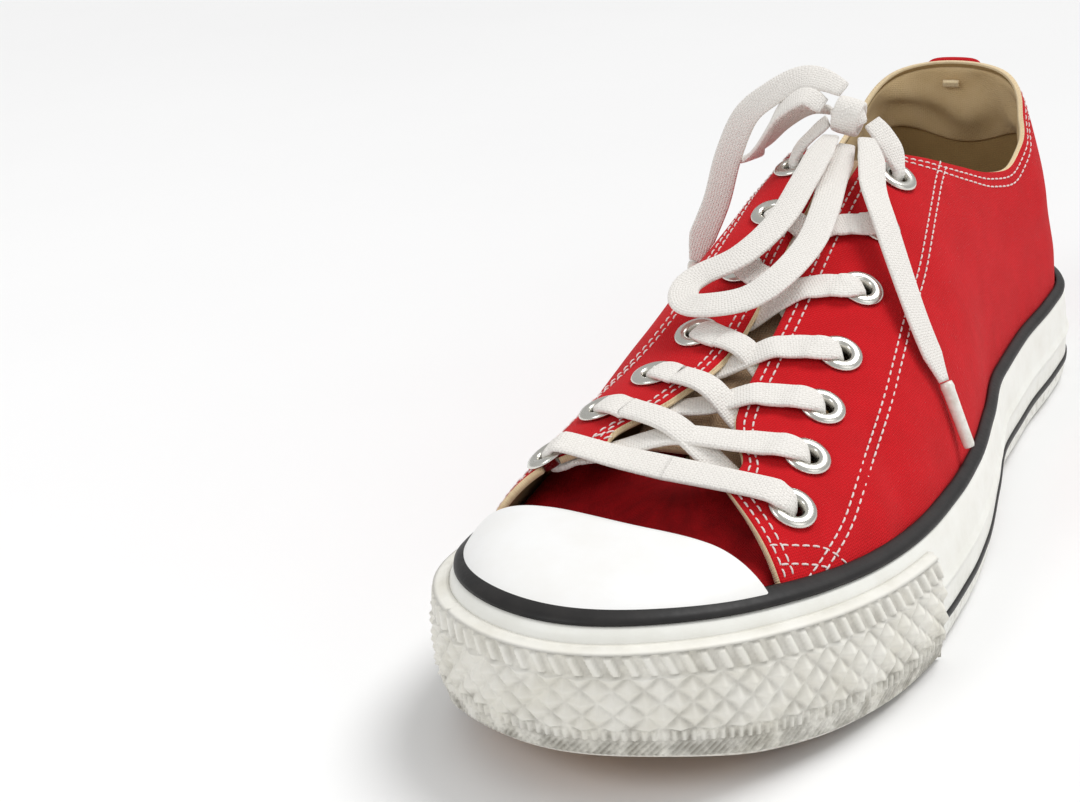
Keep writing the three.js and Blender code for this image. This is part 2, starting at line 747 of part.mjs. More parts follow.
// The lace over an eyelet, down through it and out below; `away` points from the eyelet to the throat.
function throughEyelet(seat, away, flip) {
  const stop = (sideways, height, faceAway, faceUp, width) => ({
    at: seat.place.clone().addScaledVector(away, sideways).addScaledVector(seat.normal, height),
    face: away.clone().multiplyScalar(faceAway * flip).addScaledVector(seat.normal, faceUp * flip),
    width,
  });
  return [
    stop(6.4, OVER_EYELET, 0, 1, LACE.width - 1),
    stop(2, OVER_EYELET + 0.3, -0.4, 1, LACE.narrow),
    stop(0, OVER_EYELET - 1.2, -1, 0.3, LACE.narrow),
    stop(0, UNDER + 1, -1, -0.2, LACE.narrow),
    stop(1, UNDER - 0.4, -1, -0.8, LACE.narrow),
  ];
}

// The level, unit direction from one eyelet towards another place, along the canvas.
function towards(seat, place) {
  const way = place.clone().sub(seat.place);
  return way.addScaledVector(seat.normal, -way.dot(seat.normal)).normalize();
}

// A strand from under one quarter, up through the throat, to the top of the other.
function strand(from, to, overSide, flip) {
  const start = from.place;
  const end = to.place;
  const middleHeight = overSide === "inner" ? 1 : -0.3;
  const ridgeX = along(RIDGE, "x", (start.y + end.y) / 2);
  const throat = along(OPENING, "throat", clamp((start.y + end.y) / 2, -76, 0));
  const shareAt = (x) => (x - start.x) / (end.x - start.x);
  const wayOut = Math.sign(start.x - end.x);
  const stops = [
    { share: 6 / start.distanceTo(end), height: UNDER, width: LACE.width - 2 },
    { share: shareAt(ridgeX + wayOut * (throat + 2.4)), height: UNDER, width: LACE.narrow },
    { share: shareAt(ridgeX), height: middleHeight, width: LACE.narrow },
    { share: shareAt(ridgeX - wayOut * (throat + 1.4)), height: OVER + 0.5, width: LACE.narrow },
    { share: 1 - 9 / start.distanceTo(end), height: OVER + 0.2, width: LACE.width },
  ];
  return stops.map(({ share, height, width }) => {
    const { place, normal } = seatAt(mix(start.x, end.x, share), mix(start.y, end.y, share));
    return { at: place.addScaledVector(normal, height), face: normal.multiplyScalar(flip), width };
  });
}

// From the bar at the toe, one end of the lace zigzags up to the top eyelet and the knot.
function laceHalf(firstSide) {
  const bottom = EYELETS.length - 1;
  const middle = laceSeats[bottom].outer.place.clone().lerp(laceSeats[bottom].inner.place, 0.5);
  middle.z += 3;
  const stops = [{ at: middle, face: new THREE.Vector3(0, 0, 1), width: LACE.width }];
  let side = firstSide;
  let flip = 1;
  for (let row = bottom; row > 0; row--) {
    const seat = laceSeats[row][side];
    const next = laceSeats[row - 1][OPPOSITE[side]];
    stops.push(...throughEyelet(seat, towards(seat, next.place), flip));
    flip = -flip;
    if (row > 1) stops.push(...strand(seat, next, OPPOSITE[side], flip));
    side = OPPOSITE[side];
  }
  return solidOf(ribbon(stops));
}

const grownBy = CLEARANCE;
const keepClear = [
  solidOf(quarters(grownBy)),
  solidOf(vamp(grownBy)),
  solidOf(tongue(grownBy)),
  ...laceSeats.flatMap((pair) => [eyelet(pair.outer, grownBy), eyelet(pair.inner, grownBy)]),
];
let crossings = laceHalf("outer").add(laceHalf("inner"));
for (const solid of keepClear) crossings = crossings.subtract(solid);
// Squeezed round inside each eyelet, the lace joins what lies over the canvas to what lies under it.
for (const pair of laceSeats.slice(1)) {
  for (const seat of [pair.outer, pair.inner]) {
    crossings = crossings.add(rodAt(seat, LACE.core, 2 * (OVER_EYELET + LACE.thick / 2)));
  }
}
crossings = crossings.simplify(0.03);
const laceBodies = crossings.decompose().sort((a, b) => b.volume() - a.volume());
add("lace_crossings", geometryOf(laceBodies[0]), COTTON_WHITE, 0.9);

// ---------------------------------------------------------------- the bow

// The bow sits over the top of the tongue. Its two loops, two ends and their tips are free cord.
const KNOT = { at: new THREE.Vector3(1.5, 31.5, 103.4), size: new THREE.Vector3(6.2, 4.6, 4.4) };
const knot = new THREE.IcosahedronGeometry(1, 1);
knot.scale(KNOT.size.x, KNOT.size.y, KNOT.size.z);
knot.translate(KNOT.at.x, KNOT.at.y, KNOT.at.z);
add("lace_knot", geometryOf(solidOf(knot)), COTTON_WHITE, 0.9);

// Each route: places in millimetres, then the way the flat side faces at the start and at the end.
const BOW = {
  lace_lead_outer: {
    route: [[16.2, 29, 90.6], [13.8, 30.6, 94.4], [10.6, 32, 98.6], [9, 32.6, 101.6]],
    faces: [[0.6, -0.3, 0.7], [0.9, -0.4, 0.4]],
  },
  lace_lead_inner: {
    route: [[-13.6, 26.2, 92.8], [-11, 28, 95.6], [-7.8, 30.4, 99], [-5.8, 31.5, 101.8]],
    faces: [[-0.6, -0.3, 0.7], [-0.9, -0.4, 0.4]],
  },
  lace_end_outer: {
    route: [
      [8.4, 24.6, 99], [11.6, 18.4, 95.6], [15, 8.5, 91], [20.9, -2, 85.4], [27.6, -11, 75.6],
      [34.6, -18.4, 64], [41.4, -22.2, 51.4],
    ],
    faces: [[0.5, -0.5, 0.7], [0.95, -0.2, 0.3]],
  },
  lace_end_inner: {
    route: [
      [0, 32.6, 110.4], [-6, 33.6, 112.6], [-12.4, 33.6, 113], [-20.4, 31.6, 109], [-27.6, 30.4, 103],
      [-32.6, 28.8, 92], [-36, 26.8, 79.4], [-40, 24, 69], [-41.8, 22.4, 62.8],
    ],
    faces: [[0, 0, 1], [-0.9, -0.3, 0.3]],
  },
  lace_loop_1: {
    route: [
      [2.6, 25.4, 96.8], [3.4, 12, 92], [6, -4, 88], [6.8, -18, 83.8], [4, -32, 79.6], [-2, -39.4, 76],
      [-11.2, -43, 74.6], [-17.6, -41.6, 74.4], [-20, -36, 76], [-17.6, -30.8, 78], [-8.8, -25, 81.8],
      [-3.4, -12, 87], [-2.2, 4, 92.8], [-2, 18, 97.2], [-1.6, 25.2, 99.2],
    ],
    faces: [[0, -0.4, 1], [0, -0.4, 1]],
  },
  lace_loop_2: {
    route: [
      [-4.6, 29, 106.6], [-10, 28.6, 109.4], [-17, 28.4, 105], [-22.2, 30.2, 97], [-26.4, 32, 91.4],
      [-28.4, 35.6, 90.2], [-26, 39.2, 92.4], [-21, 40, 98], [-13.4, 39.4, 103], [-5, 36.6, 103.8],
    ],
    faces: [[-0.2, -0.6, 0.9], [-0.3, 0.7, 0.7]],
  },
};
const AGLETS = {
  aglet_outer: { from: [42.2, -22, 50], to: [48.4, -24.6, 35.4] },
  aglet_inner: { from: [-42.2, 22, 61.4], to: [-45.4, 19, 44] },
};
const AGLET_RADIUS = 1.6;

const vector = (list) => new THREE.Vector3(...list);

for (const [name, { route, faces }] of Object.entries(BOW)) {
  const curve = new THREE.CatmullRomCurve3(route.map(vector), false, "centripetal");
  const steps = route.length * 2;
  const stops = curve.getSpacedPoints(steps).map((at, i) => ({
    at,
    face: vector(faces[0]).lerp(vector(faces[1]), i / steps),
    width: LACE.width,
  }));
  add(name, geometryOf(solidOf(ribbon(stops))), COTTON_WHITE, 0.9);
}

for (const [name, { from, to }] of Object.entries(AGLETS)) {
  const line = new THREE.LineCurve3(vector(from), vector(to));
  const rod = new THREE.CylinderGeometry(AGLET_RADIUS, AGLET_RADIUS, line.getLength(), 10);
  const way = vector(to).sub(vector(from)).normalize();
  rod.applyQuaternion(new THREE.Quaternion().setFromUnitVectors(upright, way));
  const middle = line.getPoint(0.5);
  rod.translate(middle.x, middle.y, middle.z);
  add(name, geometryOf(solidOf(rod)), COTTON_WHITE, 0.35);
}

export default shoe;
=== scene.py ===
# A low canvas sneaker, the left shoe of a pair: the finished look round its CAD frame.
# Shapes are worked out in millimetres, toe towards -Y and outer side towards +X, and made in metres.
import math

import bmesh
import bpy
import numpy as np
from mathutils import Matrix, Vector


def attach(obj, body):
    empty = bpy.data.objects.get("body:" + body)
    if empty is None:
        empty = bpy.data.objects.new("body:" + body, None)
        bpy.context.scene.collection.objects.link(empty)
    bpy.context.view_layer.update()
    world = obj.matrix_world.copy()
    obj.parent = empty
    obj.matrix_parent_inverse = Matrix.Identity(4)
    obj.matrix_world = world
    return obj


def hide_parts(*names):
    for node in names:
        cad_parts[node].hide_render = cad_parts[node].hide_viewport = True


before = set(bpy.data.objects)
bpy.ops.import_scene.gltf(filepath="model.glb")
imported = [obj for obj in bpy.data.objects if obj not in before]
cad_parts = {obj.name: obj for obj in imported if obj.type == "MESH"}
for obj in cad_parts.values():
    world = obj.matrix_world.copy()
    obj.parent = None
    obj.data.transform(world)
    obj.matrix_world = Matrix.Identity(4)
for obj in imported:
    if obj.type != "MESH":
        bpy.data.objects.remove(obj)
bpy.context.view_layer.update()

MM = 0.001

bpy.ops.object.select_all(action="DESELECT")
scene = bpy.context.scene
scene.view_settings.view_transform = "Standard"

# ------------------------------------------------------------------ driving dimensions

TOE_Y, HEEL_Y = -147.7, 150.0
TOE_TIP_X, HEEL_TIP_X = -8.0, 1.0
TOE_ROUND_OUTER, TOE_ROUND_INNER, HEEL_ROUND = 98.0, 50.0, 44.0
BAND = 3.0
CANVAS = 1.8
PLATFORM = 10.0
CLEARANCE = 0.3
PIPING_HEIGHT = 2.3
BUMPER_DROP = 5.2
FAN_TOE_Y, FAN_HEEL_Y, FAN_BLEND = -80.0, 108.0, 30.0
UPPER_OUT = -(BAND + CLEARANCE)
LACE_WIDTH, LACE_THICK = 7.8, 1.5

# y, x of the inner side, x of the outer side
PLAN = np.array([
    (-150, -51.7, 52.1), (-55, -50.8, 52.4), (-38, -49.4, 52.6), (-20, -46, 51.7), (10, -38, 47.5),
    (40, -33.8, 43), (68, -34.2, 42.6), (95, -36.4, 44), (118, -37.2, 44.4), (150, -36.6, 43),
], float)
# y, underside, top of the side band, ridge of the upper, fullness of its cross-section
PROFILE = np.array([
    (-150, 12, 43.6, 45.6, 5.2), (-125, 5.6, 40.8, 46.4, 4.6), (-105, 2, 37.6, 47.6, 3.6),
    (-85, 0.2, 34.8, 52.6, 2.8), (-60, 0, 32.6, 61, 2.3), (-40, 0, 31.8, 68.4, 2.15),
    (-20, 0.4, 31.4, 76, 2.1), (0, 1.4, 31.2, 83.4, 2.1), (20, 1.6, 31, 89.6, 2.15),
    (40, 1.2, 31, 93.6, 2.15), (62, 0.1, 31, 95.6, 2.15), (90, 0, 31, 98, 2.2),
    (120, 0, 31.6, 104, 2.5), (150, 0, 32.6, 112, 4.2),
], float)
UNDER, BAND_TOP, RIDGE_Z, FULLNESS = 1, 2, 3, 4
# y, how much fuller the inner side is
INNER_MORE = np.array([(-125, 0), (-80, 0.6), (-30, 0.9), (10, 1.5), (50, 1.7), (80, 0.8), (115, 0)], float)
RIDGE = np.array([(-150, -6), (-80, -3), (-50, 0.6), (-30, 1.4), (150, 1.4)], float)
# y, half width of the throat, height of the topline
OPENING = np.array([
    (-80, 18, 130), (-76, 12, 130), (-70, 8, 130), (-57, 5, 130), (-42, 3.8, 130), (0, 3.4, 130),
    (22, 3.6, 110), (36, 4, 93.5), (48, 4, 88), (62, 4, 82), (78, 4, 76), (92, 4, 73.5),
    (108, 4, 77.5), (122, 4, 86), (136, 4, 93), (150, 4, 95.6),
], float)
# outer x, outer y, inner x, inner y of each pair of eyelets; the top pair comes first
EYELETS = [
    (15.2, 29, -12.4, 26), (17.4, 5.5, -10.8, 3), (19.6, -18, -11.4, -19), (21.2, -41, -14.8, -42.6),
    (22.8, -59.6, -19, -60.4), (24.8, -77, -26, -76), (27, -93.6, -32, -93),
]
VENTS = [(-30, 43), (2, 43)]

# ------------------------------------------------------------------ the last


def along(rows, column, at):
    """A smooth curve through one column of a table."""
    xs, vs = rows[:, 0], rows[:, column]
    steep = np.diff(vs) / np.diff(xs)
    slope = np.zeros(len(xs))
    a, b = steep[:-1], steep[1:]
    both = a * b > 0
    slope[1:-1] = np.where(both, 2 * a * b / np.where(both, a + b, 1), 0)
    at = np.clip(np.asarray(at, float), xs[0], xs[-1])
    k = np.clip(np.searchsorted(xs, at, side="right") - 1, 0, len(xs) - 2)
    width = xs[k + 1] - xs[k]
    t = (at - xs[k]) / width
    return (
        (2 * t**3 - 3 * t**2 + 1) * vs[k] + (t**3 - 2 * t**2 + t) * width * slope[k]
        + (3 * t**2 - 2 * t**3) * vs[k + 1] + (t**3 - t**2) * width * slope[k + 1]
    )


def smooth_max(a, b, blend):
    near = np.maximum(blend - np.abs(a - b), 0) / blend
    return np.maximum(a, b) + near * near * blend / 4


def smooth_min(a, b, blend):
    return -smooth_max(-a, -b, blend)


def smooth_step(x):
    x = np.clip(x, 0, 1)
    return x * x * (3 - 2 * x)


def mix(a, b, t):
    return a + (b - a) * t


def crossing(test, low, high, steps=30):
    """Where a rising test passes zero, for every entry of an array at once."""
    for _ in range(steps):
        middle = (low + high) / 2
        below = test(middle) < 0
        low = np.where(below, middle, low)
        high = np.where(below, high, middle)
    return (low + high) / 2


MIDDLE_Y, HALF_LENGTH = (TOE_Y + HEEL_Y) / 2, (HEEL_Y - TOE_Y) / 2


def y_of(turn):
    return MIDDLE_Y - HALF_LENGTH * np.cos(2 * np.pi * turn)


def turn_of(side, y):
    share = np.arccos(np.clip((MIDDLE_Y - y) / HALF_LENGTH, -1, 1)) / (2 * np.pi)
    return np.where(np.asarray(side) > 0, share, 1 - share)


def is_outer(turn):
    return turn - np.floor(turn) < 0.5


def plan_point(turn):
    y = y_of(turn)
    outer = is_outer(turn)

    def rounded(distance, length):
        return np.sqrt(1 - (1 - np.clip(distance / length, 0, 1)) ** 2)

    toe = rounded(y - TOE_Y, np.where(outer, TOE_ROUND_OUTER, TOE_ROUND_INNER))
    heel = rounded(HEEL_Y - y, HEEL_ROUND)
    side = np.where(outer, along(PLAN, 2, y), along(PLAN, 1, y))
    tip = np.where(y < 0, TOE_TIP_X, HEEL_TIP_X)
    return mix(tip, side, toe * heel), y


def outline(turn, out):
    step = 1e-3
    x0, y0 = plan_point(turn - step)
    x1, y1 = plan_point(turn + step)
    length = np.hypot(x1 - x0, y1 - y0)
    x, y = plan_point(turn)
    return x + (y1 - y0) / length * out, y - (x1 - x0) / length * out


def underside(y):
    return along(PROFILE, UNDER, y)


def band_top(y):
    return along(PROFILE, BAND_TOP, y)


def feather(y):
    return underside(y) + PLATFORM + CLEARANCE


def spine_y(y):
    return smooth_min(smooth_max(y, FAN_TOE_Y, FAN_BLEND), FAN_HEEL_Y, FAN_BLEND)


def inner_fullness(turn, y):
    """The inner side of the waist and forefoot stands fuller than the outer side."""
    return np.where(is_outer(turn), 0, along(INNER_MORE, 1, y))


def last_point(turn, rise, out, sink=0.0):
    fx, fy = outline(turn, UPPER_OUT + out)
    station = y_of(turn)
    ridge_y = spine_y(station)
    ridge_x = along(RIDGE, 1, ridge_y)
    fullness = along(PROFILE, FULLNESS, station) + inner_fullness(turn, station)
    power = 2 / fullness
    angle = np.clip(rise, 0, 1) * np.pi / 2
    inward = 1 - np.cos(angle) ** power
    upward = np.sin(angle) ** power
    x = mix(fx, ridge_x, inward)
    y = mix(fy, ridge_y, inward)
    base = feather(station)
    top = along(PROFILE, RIDGE_Z, y) + out - sink
    return np.stack(np.broadcast_arrays(x, y, base + (top - base) * upward), -1)


QUARTER_LIFT = {"inner": 6.0, "outer": 2.0, "full_y": -88.0, "none_y": -40.0}


def quarter_point(turn, rise, out):
    point = last_point(turn, rise, out)
    most = np.where(is_outer(turn), QUARTER_LIFT["outer"], QUARTER_LIFT["inner"])
    near = smooth_step((QUARTER_LIFT["none_y"] - point[..., 1])
                       / (QUARTER_LIFT["none_y"] - QUARTER_LIFT["full_y"]))
    point[..., 2] += most * near * smooth_step((rise - 0.2) / 0.6)
    return point


def rise_at(turn, height, out):
    shape = np.broadcast(turn, height, out).shape
    return crossing(lambda r: last_point(turn, r, out)[..., 2] - height, np.zeros(shape), np.ones(shape))


def wall_point(turn, height, out):
    fx, fy = outline(turn, UPPER_OUT + out)
    low = np.stack(np.broadcast_arrays(fx, fy, height), -1)
    high = last_point(turn, rise_at(turn, height, out), out)
    above = height > feather(y_of(turn))
    return np.where(np.asarray(above)[..., None], high, low)


def from_ridge(turn, rise):
    point = last_point(turn, rise, 0.0)
    ridge_y = spine_y(y_of(turn))
    return np.hypot(point[..., 0] - along(RIDGE, 1, ridge_y), point[..., 1] - ridge_y)


def opening_rise(turn):
    ridge_y = spine_y(y_of(turn))
    throat = along(OPENING, 1, ridge_y)

    def test(rise):
        point = last_point(turn, rise, 0.0)
        below = along(OPENING, 2, point[..., 1]) - point[..., 2]
        return -smooth_min(from_ridge(turn, rise) - throat, below, 8.0)

    return crossing(test, np.zeros(np.shape(turn)), np.ones(np.shape(turn)))


def frame_of(turn, rise, surface=quarter_point):
    """Places and outward normals of a surface."""
    step = 2e-3
    around = surface(turn + step, rise, 0.0) - surface(turn - step, rise, 0.0)
    up = surface(turn, rise + step, 0.0) - surface(turn, rise - step, 0.0)
    normal = np.cross(around, up)
    return surface(turn, rise, 0.0), normal / np.linalg.norm(normal, axis=-1, keepdims=True)


def locate(x, y):
    """The turn and the rise of points of the upper seen from above."""
    x, y = np.broadcast_arrays(np.asarray(x, float), np.asarray(y, float))
    outer = x > along(RIDGE, 1, y)

    def beside(turn):
        ridge_y = spine_y(y_of(turn))
        ridge_x = along(RIDGE, 1, ridge_y)
        fx, fy = outline(turn, UPPER_OUT)
        return -((fx - ridge_x) * (y - ridge_y) - (fy - ridge_y) * (x - ridge_x))

    low = np.where(outer, 0.02, 0.52)
    turn = crossing(beside, low, low + 0.46)
    ridge_y = spine_y(y_of(turn))
    reach = np.hypot(x - along(RIDGE, 1, ridge_y), y - ridge_y)
    rise = crossing(lambda r: reach - from_ridge(turn, r), np.zeros(x.shape), np.ones(x.shape))
    return turn, rise


def seat(x, y):
    return frame_of(*locate(x, y))


def unit(v):
    v = np.asarray(v, float)
    return v / np.linalg.norm(v, axis=-1, keepdims=True)


def lengths(places):
    """Distance along a path at each of its places."""
    return np.r_[0, np.cumsum(np.linalg.norm(np.diff(places, axis=0), axis=-1))]


def turn_grid(start, end, rows, columns):
    """Turns that change along the rows and not along the columns."""
    return np.linspace(start, end, rows)[:, None] * np.ones((1, columns))


def smooth_path(points, step):
    """Points a step apart on a smooth curve through a short list of places, of any number of columns."""
    p = np.asarray(points, float)
    p = np.vstack([2 * p[0] - p[1], p, 2 * p[-1] - p[-2]])
    fine = []
    for a, b, c, d in zip(p, p[1:], p[2:], p[3:]):
        t = np.linspace(0, 1, 24, endpoint=False)[:, None]
        fine.append(0.5 * (2 * b + (c - a) * t + (2 * a - 5 * b + 4 * c - d) * t**2
                           + (3 * b - a - 3 * c + d) * t**3))
    fine = np.vstack(fine + [p[-2][None]])
    length = lengths(fine[:, :3])
    at = np.linspace(0, length[-1], max(int(length[-1] / step), 2) + 1)
    return np.stack([np.interp(at, length, column) for column in fine.T], -1)


# ------------------------------------------------------------------ camera

PICTURE_WIDTH = 1080
FOCAL = 1802.4
SENSOR = 36.0
YAW, PITCH, ROLL = 0.5001, 0.3832, -0.0961
CAMERA_PLACE = (150.33, -428.47, 221.29)


def make_camera():
    level = math.cos(PITCH)
    forward = Vector((-math.sin(YAW) * level, math.cos(YAW) * level, -math.sin(PITCH)))
    right = Vector((math.cos(YAW), math.sin(YAW), 0))
    up = right.cross(forward)
    turned_right = math.cos(ROLL) * right + math.sin(ROLL) * up
    turned_up = -math.sin(ROLL) * right + math.cos(ROLL) * up
    data = bpy.data.cameras.new("camera")
    data.sensor_width = SENSOR
    data.lens = FOCAL / PICTURE_WIDTH * SENSOR
    camera = bpy.data.objects.new("camera", data)
    scene.collection.objects.link(camera)
    matrix = Matrix((turned_right, turned_up, -forward)).transposed().to_4x4()
    matrix.translation = Vector(CAMERA_PLACE) * MM
    camera.matrix_world = matrix
    scene.camera = camera


make_camera()

# ------------------------------------------------------------------ meshes


def make_mesh(name, points, faces, materials, uv=None, slots=None):
    """Points are in millimetres; uv gives one pair for each point."""
    mesh = bpy.data.meshes.new(name)
    points = np.asarray(points, float).reshape(-1, 3) * MM
    mesh.from_pydata(points.tolist(), [], [tuple(int(i) for i in f) for f in faces])
    if uv is not None:
        layer = mesh.uv_layers.new(name="UVMap")
        index = np.empty(len(mesh.loops), int)
        mesh.loops.foreach_get("vertex_index", index)
        layer.data.foreach_set("uv", np.asarray(uv, float).reshape(-1, 2)[index].ravel())
    piece = bpy.data.objects.new(name, mesh)
    scene.collection.objects.link(piece)
    for material in materials:
        mesh.materials.append(material)
    if slots is not None:
        mesh.polygons.foreach_set("material_index", np.asarray(slots, int))
    mesh.polygons.foreach_set("use_smooth", [True] * len(mesh.polygons))
    mesh.update()
    return piece


def hand_over(piece, slot, *stands_for):
    """Every piece rides on the shoe's one body, and some stand for solids of the frame."""
    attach(piece, "root")
    if stands_for:
        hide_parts(*stands_for)


def grid_faces(rows, columns, closed_rows=False, closed_columns=False, start=0):
    faces = []
    for r in range(rows if closed_rows else rows - 1):
        for c in range(columns if closed_columns else columns - 1):
            a = start + r * columns + c
            b = start + ((r + 1) % rows) * columns + c
            nc = (c + 1) % columns
            faces.append((a, b, start + ((r + 1) % rows) * columns + nc, start + r * columns + nc))
    return faces

def tube_faces(count, sides, start=0):
    """The faces of a tube of rings, with both of its ends closed."""
    last = start + (count - 1) * sides
    ends = [tuple(start + k for k in range(sides)), tuple(last + k for k in reversed(range(sides)))]
    return grid_faces(count, sides, closed_columns=True, start=start) + ends


def loops_mesh(name, loops, material):
    """A closed skin: loops round the shoe, the last joined to the first."""
    loops = np.asarray(loops)
    faces = [tuple(reversed(f)) for f in grid_faces(*loops.shape[:2], True, True)]
    return make_mesh(name, loops, faces, [material])


def sheet_mesh(name, outer, inner, materials, uv):
    """A closed sheet from two grids, rows along the turn and columns upwards."""
    rows, columns = outer.shape[:2]
    half = rows * columns
    faces = grid_faces(rows, columns)
    slots = [0] * len(faces)
    faces += [tuple(reversed(f)) for f in grid_faces(rows, columns, start=half)]
    slots += [1] * (len(faces) - len(slots))
    rim = list(range(columns - 1)) + [r * columns + columns - 1 for r in range(rows - 1)]
    rim += [(rows - 1) * columns + c for c in range(columns - 1, 0, -1)]
    rim += [r * columns for r in range(rows - 1, 0, -1)]
    for i, a in enumerate(rim):
        b = rim[(i + 1) % len(rim)]
        faces.append((a, b, half + b, half + a))
        slots.append(2)
    points = np.concatenate([outer.reshape(-1, 3), inner.reshape(-1, 3)])
    uv = np.concatenate([uv.reshape(-1, 2)] * 2)
    if len(materials) == 1:
        slots = None
    return make_mesh(name, points, faces, materials, uv, slots)


def apply_modifiers(piece):
    bpy.ops.object.select_all(action="DESELECT")
    bpy.context.view_layer.objects.active = piece
    piece.select_set(True)
    for modifier in list(piece.modifiers):
        bpy.ops.object.modifier_apply(modifier=modifier.name)
    piece.select_set(False)


def recalculate(piece):
    """Turn every face of a closed piece outwards."""
    bpy.ops.object.select_all(action="DESELECT")
    bpy.context.view_layer.objects.active = piece
    piece.select_set(True)
    bpy.ops.object.mode_set(mode="EDIT")
    bpy.ops.mesh.select_all(action="SELECT")
    bpy.ops.mesh.normals_make_consistent(inside=False)
    bpy.ops.object.mode_set(mode="OBJECT")
    piece.select_set(False)


RIBBON_SIDES = 14
RIBBON_FLATNESS = (0.45, 0.75)


def rounded_wave(wave, power):
    return np.sign(wave) * np.abs(wave) ** power


def ribbon_mesh(name, places, faces_way, widths, thick=LACE_THICK):
    """A flat woven lace: a rounded strip swept along places, its flat side facing faces_way."""
    forward = unit(np.gradient(places, axis=0))
    wide = unit(np.cross(faces_way, forward))
    up = np.cross(forward, wide)
    angle = np.linspace(0, 2 * np.pi, RIBBON_SIDES, endpoint=False)
    u = rounded_wave(np.cos(angle), RIBBON_FLATNESS[0])
    v = rounded_wave(np.sin(angle), RIBBON_FLATNESS[1])
    thick = np.broadcast_to(thick, widths.shape)
    points = (places[:, None] + wide[:, None] * (u[None, :, None] * widths[:, None, None] / 2)
              + up[:, None] * (v[None, :, None] * thick[:, None, None] / 2))
    faces = tube_faces(len(places), RIBBON_SIDES)
    uv = np.stack(np.broadcast_arrays(lengths(places)[:, None] / 10, u[None] * widths[:, None] / 20), -1)
    piece = make_mesh(name, points, faces, [LACE], uv)
    recalculate(piece)
    return piece


# ------------------------------------------------------------------ node helpers


def add_node(tree, kind, inputs=None, links=None, **settings):
    node = tree.nodes.new(kind)
    for key, value in settings.items():
        setattr(node, key, value)
    for key, value in (inputs or {}).items():
        node.inputs[key].default_value = value
    for key, source in (links or {}).items():
        tree.links.new(source, node.inputs[key])
    return node


def math_node(tree, operation, a, b=None, clamp=False):
    node = add_node(tree, "ShaderNodeMath", operation=operation, use_clamp=clamp)
    for slot, value in enumerate((a, b)):
        if value is None:
            continue
        if isinstance(value, (int, float)):
            node.inputs[slot].default_value = value
        else:
            tree.links.new(value, node.inputs[slot])
    return node.outputs[0]

def times(tree, a, b, clamp=False):
    return math_node(tree, "MULTIPLY", a, b, clamp)


def plus(tree, a, b):
    return math_node(tree, "ADD", a, b)


def mix_colour(tree, share, a, b):
    node = add_node(tree, "ShaderNodeMix", data_type="RGBA")
    for slot, value in ((0, share), (6, a), (7, b)):
        if isinstance(value, (int, float, tuple)):
            node.inputs[slot].default_value = value
        else:
            tree.links.new(value, node.inputs[slot])
    return node.outputs[2]


def new_group(name, inputs, outputs):
    group = bpy.data.node_groups.new(name, "ShaderNodeTree")
    for label, kind, default in inputs:
        socket = group.interface.new_socket(label, in_out="INPUT", socket_type=kind)
        if default is not None:
            socket.default_value = default
    for label, kind in outputs:
        group.interface.new_socket(label, in_out="OUTPUT", socket_type=kind)
    return group, group.nodes.new("NodeGroupInput"), group.nodes.new("NodeGroupOutput")


def woven_group():
    """Plain weave: threads over and under each other. Vector in centimetres."""
    group, given, out = new_group(
        "plain weave",
        [("Vector", "NodeSocketVector", None), ("Threads per cm", "NodeSocketFloat", 12.0)],
        [("Height", "NodeSocketFloat"), ("Gaps", "NodeSocketFloat")],
    )
    split = add_node(group, "ShaderNodeSeparateXYZ", links={0: given.outputs["Vector"]})
    where = {"Vector": given.outputs["Vector"]}
    pull = add_node(group, "ShaderNodeTexNoise", {"Scale": 3.0, "Detail": 2.0}, where)
    sway = times(group, pull.outputs["Fac"], 0.06)
    waves = []
    for axis in (0, 1):
        swayed = plus(group, split.outputs[axis], sway)
        turns = times(group, swayed, given.outputs["Threads per cm"])
        waves.append(times(group, turns, math.pi))
    u, v = waves
    over = times(group, math_node(group, "SINE", u), math_node(group, "SINE", v))
    rounded = math_node(group, "ABSOLUTE", over)
    height = plus(group, times(group, over, 0.35), rounded)
    group.links.new(height, out.inputs["Height"])
    thread = math_node(group, "POWER", rounded, 0.5)
    group.links.new(math_node(group, "SUBTRACT", 1.0, thread), out.inputs["Gaps"])
    return group


def mottle_group():
    """Soft uneven patches, from 0 to 1."""
    group, given, out = new_group(
        "mottle",
        [("Vector", "NodeSocketVector", None), ("Scale", "NodeSocketFloat", 40.0),
         ("Low", "NodeSocketFloat", 0.35), ("High", "NodeSocketFloat", 0.65)],
        [("Patches", "NodeSocketFloat")],
    )
    noise = add_node(group, "ShaderNodeTexNoise", {"Detail": 5.0, "Roughness": 0.6},
                     {"Vector": given.outputs["Vector"], "Scale": given.outputs["Scale"]})
    spread = add_node(group, "ShaderNodeMapRange", {}, {"Value": noise.outputs["Fac"],
                      "From Min": given.outputs["Low"], "From Max": given.outputs["High"]})
    group.links.new(spread.outputs["Result"], out.inputs["Patches"])
    return group


WOVEN = woven_group()
MOTTLE = mottle_group()


def srgb(r, g, b):
    def linear(c):
        c /= 255
        return c / 12.92 if c <= 0.04045 else ((c + 0.055) / 1.055) ** 2.4
    return (linear(r), linear(g), linear(b), 1.0)


def start_material(name, roughness, sheen=0.0, metallic=0.0, coat=0.0, specular=0.5):
    material = bpy.data.materials.new(name)
    material.use_nodes = True
    tree = material.node_tree
    shader = tree.nodes["Principled BSDF"]
    shader.inputs["Roughness"].default_value = roughness
    shader.inputs["Metallic"].default_value = metallic
    shader.inputs["Sheen Weight"].default_value = sheen
    shader.inputs["Coat Weight"].default_value = coat
    shader.inputs["Specular IOR Level"].default_value = specular
    coords = tree.nodes.new("ShaderNodeTexCoord")
    return material, tree, shader, coords


